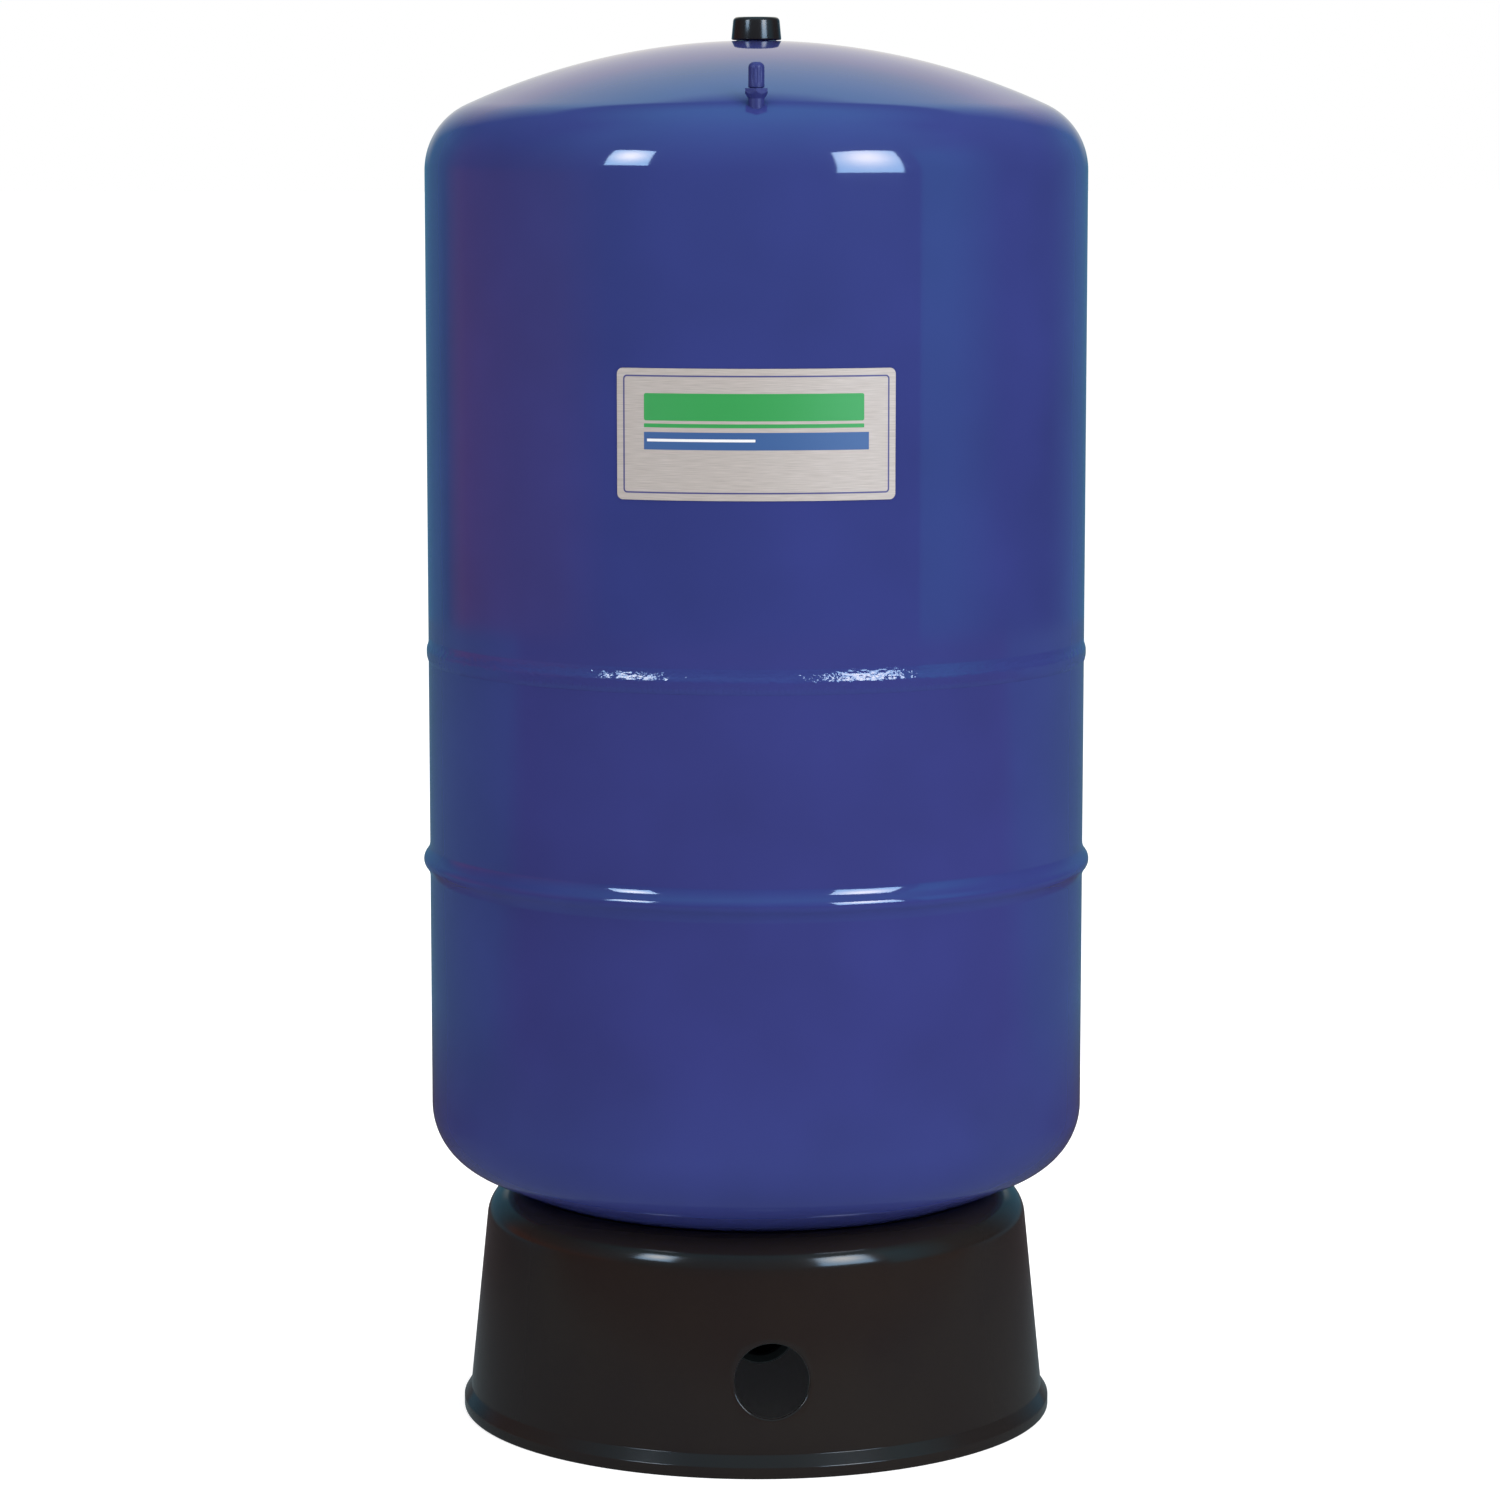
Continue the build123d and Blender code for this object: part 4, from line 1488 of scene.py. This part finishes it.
@dataclass(frozen=True)
class Panel:
    """Part of the room that glows: where it starts and ends to one side, and how it fades with the rise.

    Near and far are angles from the camera, each with the soft width over which the glow comes and goes.
    The levels are those at the rises, with straight lines between.
    """

    flank: Flank
    near: Pair
    rises: tuple[float, ...]
    levels: tuple[float, ...]
    colour: Triple = (1.0, 1.0, 1.0)
    far: Pair = (360.0, 1.0)

    def share(self, side: Array, rise: Array) -> Array:
        """Brightness of the panel in each direction.

        Args:
            side: Angles to the right of the camera.
            rise: Angles above the tank's middle.

        Returns:
            Array of brightnesses.
        """
        away = side * self.flank.value if self.flank.value else np.abs(side)
        ends = step(away, *self.near) * step(-away, -self.far[0], self.far[1])
        return ends * np.interp(rise, self.rises, self.levels)


@dataclass(frozen=True)
class Studio:
    """Pale floor, dim room with a white sheet behind the tank, soft boxes and the camera."""

    boxes: tuple[SoftBox, ...] = (
        SoftBox("soft_box_right", side=38.4, low=0.83, high=3.5, width=1.66, power=54.0, glow=20.0),
        SoftBox("soft_box_left", side=-44.2, low=1.45, high=3.2, width=1.12, power=6.0, glow=21.0),
    )
    face_rows: int = 17
    face_spread: Pair = (0.75, 0.65)
    face_rise: float = 0.1
    cloth_edge: Triple = (0.28, 0.48, 0.7)
    lens: float = 114.9
    sensor: float = 36.0
    clip: Pair = (0.1, 200.0)
    frame_width: int = 1500
    axis_pixel: float = 756.3
    focal_pixels: float = 4788.0
    distance: float = 2.8428
    eye_height: float = 0.7652
    pitch: float = radians(7.35)
    ambient: float = 0.62
    overhead_power: float = 40.0
    overhead_height: float = 3.6
    overhead_size: Pair = (2.4, 2.4)
    floor_half: float = 60.0
    paper: str = "#ebebeb"
    paper_glow: float = 0.6
    # Glow under the tank, inside the stand's foot: painted shade, with a faint painted light seen through the
    # pipe hole. The edge is the span of radii over which it turns to the paper's glow.
    painted_shade_glow: float = 0.009
    painted_shade_edge: Pair = (0.172, 0.176)
    near_front: tuple[float, ...] = (0.15, 0.2, 0.22, 1.0)
    far_front: tuple[float, ...] = (0.13, 0.03, 0.0, 1.0)
    near_back: tuple[float, ...] = (0.08, 0.07, 0.075, 1.0)
    far_back: tuple[float, ...] = (0.09, 0.18, 0.24, 1.0)
    near_reach: Pair = (1.0, 1.45)
    back_start: Pair = (-0.1, 0.4)
    room_radius: float = 4.8
    room_middle: float = 0.45
    room_foot: float = -6.0
    room_grid: tuple[int, int] = (480, 129)
    darkness: float = 0.02
    ceiling_rises: tuple[float, ...] = (-2, 3, 22, 37, 52, 67, 90)
    ceiling_levels: tuple[float, ...] = (0.02, 0.14, 0.26, 0.42, 0.6, 0.75, 1.05)
    ceiling_colour: Triple = (0.15, 0.85, 1.15)
    ceiling_gap: Panel = Panel(Flank.BOTH, near=(80, 30), rises=(56, 72), levels=(0.75, 0.0))
    warm_panel: Panel = Panel(
        Flank.LEFT,
        near=(60, 20),
        far=(128, 12),
        rises=(0, 8, 18, 34),
        levels=(1, 0.4, 0.3, 0),
        colour=(0.28, 0.05, 0.0),
    )
    cold_panel: Panel = Panel(
        Flank.RIGHT,
        near=(56.8, 0.8),
        far=(80, 24),
        rises=(-5, 1, 24, 38),
        levels=(0.7, 1, 1, 0),
        colour=(0.0, 0.38, 0.55),
    )
    back_panel: Panel = Panel(
        Flank.BOTH, near=(130, 24), rises=(18, 30), levels=(1, 0), colour=(0.05, 0.17, 0.26)
    )
    sheet_rises: tuple[float, ...] = (11, 14, 19, 25, 29, 37, 50)
    sheet_sides: tuple[float, ...] = (165, 164, 160, 155, 151, 147, 144)
    sheet_soft: float = 23.0
    sheet_ends: tuple[float, ...] = (4, 8, 48.5, 52.5)
    sheet_bands: tuple[float, ...] = (16, 29, 36, 47)
    sheet_levels: tuple[tuple[float, ...], ...] = (
        (0.87, 0.87, 0.72, 0.5),
        (0.84, 0.84, 0.87, 0.9),
        (0.8, 0.78, 0.8, 0.93),
    )

    def camera(self) -> None:
        """Stand the camera where the photograph was taken from."""
        data = bpy.data.cameras.new("camera")
        data.lens, data.sensor_width = self.lens, self.sensor
        data.clip_start, data.clip_end = self.clip
        yaw = atan2(self.axis_pixel - self.frame_width / 2, self.focal_pixels)
        heading = FRONT + pi + yaw
        ahead = Vector((cos(heading) * cos(self.pitch), sin(heading) * cos(self.pitch), -sin(self.pitch)))
        made = placed("camera", data)
        made.location = (self.distance * cos(FRONT), self.distance * sin(FRONT), self.eye_height)
        made.rotation_mode = "QUATERNION"
        made.rotation_quaternion = ahead.to_track_quat("-Z", "Y")
        bpy.context.scene.camera = made

    def lamp(self, name: str, spot: Vector, size: Pair, power: float) -> None:
        """Area lamp aimed at the middle of the tank, which gloss doesn't show.

        Args:
            name: Name of the lamp.
            spot: Where it stands.
            size: Its width and height.
            power: Its power.
        """
        data = bpy.data.lights.new(name, "AREA")
        data.shape, data.energy = "RECTANGLE", power
        data.size, data.size_y = size
        made = placed(name, data)
        made.location, made.rotation_mode = spot, "QUATERNION"
        made.rotation_quaternion = (Vector((0, 0, self.room_middle)) - spot).to_track_quat("-Z", "Y")
        made.visible_camera = made.visible_glossy = made.visible_transmission = False

    def gloss_only(self, name: str, points: Array, faces: Array, colours: Array, strength: float) -> None:
        """Make a glowing surface of the studio that only the gloss of the tank shows.

        Args:
            name: Name of the surface.
            points: Points in metres, in any shape whose last axis is of three.
            faces: Faces, in any shape whose last axis is of four point numbers.
            colours: Linear colour at each point.
            strength: Strength of the glow.
        """
        mesh = bpy.data.meshes.new(name)
        mesh.from_pydata(points.reshape(-1, 3).tolist(), [], faces.reshape(-1, 4).tolist())
        layer = mesh.color_attributes.new("glow", "FLOAT_COLOR", "POINT")
        layer.data.foreach_set("color", np.insert(colours.reshape(-1, 3), 3, 1.0, axis=1).ravel())
        material, tree = blank_material(f"{name}_cloth")
        colour = add_node(tree, "ShaderNodeAttribute", attribute_name="glow").outputs["Color"]
        shader = add_node(tree, "ShaderNodeEmission", {"Color": colour, "Strength": strength})
        add_node(tree, "ShaderNodeOutputMaterial", {"Surface": shader.outputs[0]})
        mesh.materials.append(material)
        made = placed(name, mesh)
        made.visible_camera = made.visible_diffuse = made.visible_shadow = made.visible_transmission = False

    def softbox(self, box: SoftBox) -> None:
        """Set up a soft box: a lamp that lights the tank and a face that its gloss shows.

        The face is brightest a little above its middle, and falls off to its edges like a bell curve:
        exp(-(across / spread)^2 - ((up - rise) / spread)^2), with both from -1 to 1 and a spread for each.

        Args:
            box: The soft box.
        """
        turn, height = FRONT + radians(box.side), (box.low + box.high) / 2
        lamp_spot = Vector((box.lamp_reach * cos(turn), box.lamp_reach * sin(turn), height))
        self.lamp(box.name, lamp_spot, (box.width, box.high - box.low), box.power)
        line = np.linspace(-1, 1, self.face_rows)
        across, up = (grid[..., None] for grid in np.meshgrid(line, line))
        points = polar(box.reach, turn, height) + across * box.width / 2 * polar(1.0, turn + pi / 2, 0.0)
        points += up * (box.high - box.low) / 2 * np.array([0.0, 0.0, 1.0])
        wide, tall = self.face_spread
        middle = np.exp(-((across / wide) ** 2) - ((up - self.face_rise) / tall) ** 2)
        colours = self.cloth_edge + middle * (1 - np.array(self.cloth_edge))
        cells = wall_faces(self.face_rows, self.face_rows, False)[:, :-1]
        self.gloss_only(f"{box.name}_face", points, cells, colours, box.glow)

    def room(self) -> None:
        """Dim room round the tank, as its gloss shows it.

        It is a dome of directions: side is the angle to the right of the camera and rise the angle above the
        tank's middle. Its walls are nearly dark, with a warm panel on the left, a cold one on the right and a
        cold one low down behind the tank. A cold ceiling grows brighter with the rise, but less so above the
        back. Behind the tank hangs a white sheet, wider the higher it gets, up to a rise of about 50 degrees.
        """
        columns, rows = self.room_grid
        levels = np.linspace(self.room_foot, 90, rows)
        side, rise = np.meshgrid(np.linspace(-180, 180, columns + 1)[:-1], levels)
        ceiling = np.interp(rise, self.ceiling_rises, self.ceiling_levels)
        ceiling = ceiling * (1 - self.ceiling_gap.share(side, rise))
        shade = ceiling[..., None] * self.ceiling_colour
        for panel in (self.warm_panel, self.cold_panel, self.back_panel):
            shade = shade + panel.share(side, rise)[..., None] * panel.colour
        sheet = step(np.abs(side) - np.interp(rise, self.sheet_rises, self.sheet_sides), 0, self.sheet_soft)
        sheet = (sheet * np.interp(rise, self.sheet_ends, (0, 1, 1, 0)))[..., None]
        white = np.stack([np.interp(rise, self.sheet_bands, level) for level in self.sheet_levels], -1)
        shade = (self.darkness + shade) * (1 - sheet) + sheet * white
        turn, lift = FRONT + np.radians(side), np.radians(rise)
        points = self.room_radius * polar(np.cos(lift), turn, np.sin(lift))
        points[..., 2] += self.room_middle
        self.gloss_only("studio_room", points, wall_faces(*side.shape, False), shade, 1.0)

    def floor(self) -> None:
        """Pale floor that is white to the camera and keeps the tank's shadow.

        It shines a little for the camera. Under the tank it shines far less, as painted shade inside the
        stand, and the glow left there is painted light seen through the pipe hole. To gloss it looks dim: a
        cool patch in front of the tank, darker and warm beyond it, nearly dark close behind the tank, and
        cool again further back.
        """
        half = self.floor_half / MM
        corners = np.array([(-half, -half, 0.0), (half, -half, 0.0), (half, half, 0.0), (-half, half, 0.0)])
        made = mesh_object("pale_floor", corners, np.arange(4))
        material, tree = blank_material("pale_paper")
        seen = add_node(tree, "ShaderNodeLightPath").outputs
        place = add_node(tree, "ShaderNodeTexCoord").outputs["Object"]
        reach = add_node(tree, "ShaderNodeVectorMath", {0: place}, operation="LENGTH").outputs["Value"]
        depth = add_node(tree, "ShaderNodeSeparateXYZ", {0: place}).outputs["Y"]
        far, back = ramp(tree, reach, *self.near_reach), ramp(tree, depth, *self.back_start)
        front_colour = blended(tree, far, self.near_front, self.far_front)
        dim = blended(tree, back, front_colour, blended(tree, far, self.near_back, self.far_back))
        paper = add_node(tree, "ShaderNodeBsdfDiffuse", {"Color": linear(self.paper)}).outputs[0]
        # Far less glow under the tank: painted shade inside the stand, with a faint painted light left for
        # the pipe hole.
        outside = ramp(tree, reach, *self.painted_shade_edge, self.painted_shade_glow, self.paper_glow)
        strength = maths(tree, "MULTIPLY", outside, seen["Is Camera Ray"])
        glow = add_node(tree, "ShaderNodeEmission", {"Strength": strength}).outputs[0]
        lifted = add_node(tree, "ShaderNodeAddShader", {0: paper, 1: glow}).outputs[0]
        shown = add_node(tree, "ShaderNodeEmission", {"Color": dim}).outputs[0]
        mixed = add_node(tree, "ShaderNodeMixShader", {0: seen["Is Glossy Ray"], 1: lifted, 2: shown})
        add_node(tree, "ShaderNodeOutputMaterial", {"Surface": mixed.outputs[0]})
        made.data.materials.append(material)

    def world(self) -> None:
        """White surroundings for the camera and the gloss, and a soft even light for the rest."""
        world = bpy.data.worlds.new("studio")
        world.use_nodes = True
        tree = world.node_tree
        tree.nodes.clear()
        seen = add_node(tree, "ShaderNodeLightPath").outputs
        shown = seen["Is Camera Ray"]
        for ray in ("Is Glossy Ray", "Is Transmission Ray"):
            shown = maths(tree, "MAXIMUM", shown, seen[ray])
        soft, white = (
            add_node(tree, "ShaderNodeBackground", {"Color": linear("#ffffff"), "Strength": level}).outputs[0]
            for level in (self.ambient, 1.0)
        )
        mixed = add_node(tree, "ShaderNodeMixShader", {0: shown, 1: soft, 2: white})
        add_node(tree, "ShaderNodeOutputWorld", {"Surface": mixed.outputs[0]})
        bpy.context.scene.world = world

    def build(self) -> None:
        """Set the studio up."""
        self.camera()
        self.floor()
        self.world()
        self.room()
        for box in self.boxes:
            self.softbox(box)
        above = Vector((0.0, 0.0, self.overhead_height))
        self.lamp("overhead", above, self.overhead_size, self.overhead_power)
        bpy.context.scene.view_settings.view_transform = "Standard"


def main() -> None:
    """Build the tank's pieces in order, from the vessel to the studio."""
    logging.basicConfig(level=logging.INFO, format="%(name)s %(message)s")
    paint = BakedEnamel().material()
    vessel = Vessel()
    vessel.build(paint)
    black = MouldedPlastic(
        "moulded_polypropylene", "#241f1f", "#272220", roughness=0.13, specular=0.03, skin=0.5
    )
    Stand(vessel).build(black.material())
    RatingPlate().build()
    gloss = MouldedPlastic("gloss_moulded_cap", "#231e1e", "#282222", roughness=0.17, specular=0.05, skin=0.6)
    TopCap(vessel.top.height_at(0)).build(gloss.material())
    # The vessel's enamel, duller from overspray, with darker colours: painted shade on the valve.
    valve_enamel = BakedEnamel("valve_enamel_painted_shade", "#32397a", "#2e3470", roughness=0.4, specular=0.2, wave_depth=0.0)
    steel = WorkedMetal("plain_steel", "#a8a8aa", "#8d8d90", roughness=0.34).material()
    AirValve(vessel).build(valve_enamel.material(), steel)
    coating = MouldedPlastic(
        "coated_iron", "#191919", "#242424", roughness=0.5, flow_size=8.0, grain_depth=0.02
    )
    refinish(coating.material(), "water_elbow")
    refinish(steel, "clamp_ring", "port_nozzle", "port_nut", "top_plug")
    brass = WorkedMetal("turned_brass", "#d9b667", "#b08f4d", roughness=0.22, grain=0.2)
    refinish(brass.material(), "core_body", "core_pin")
    refinish(ButylRubber().material(), "diaphragm", "port_gasket", "core_seal", "pin_seal", "valve_cap_seal")
    liner = MouldedPlastic("natural_polypropylene", "#d8d6cf", "#c9c6bd", roughness=0.4, grain_depth=0.004)
    refinish(liner.material(), "water_liner")
    Studio().build()


if __name__ == "__main__":
    main()
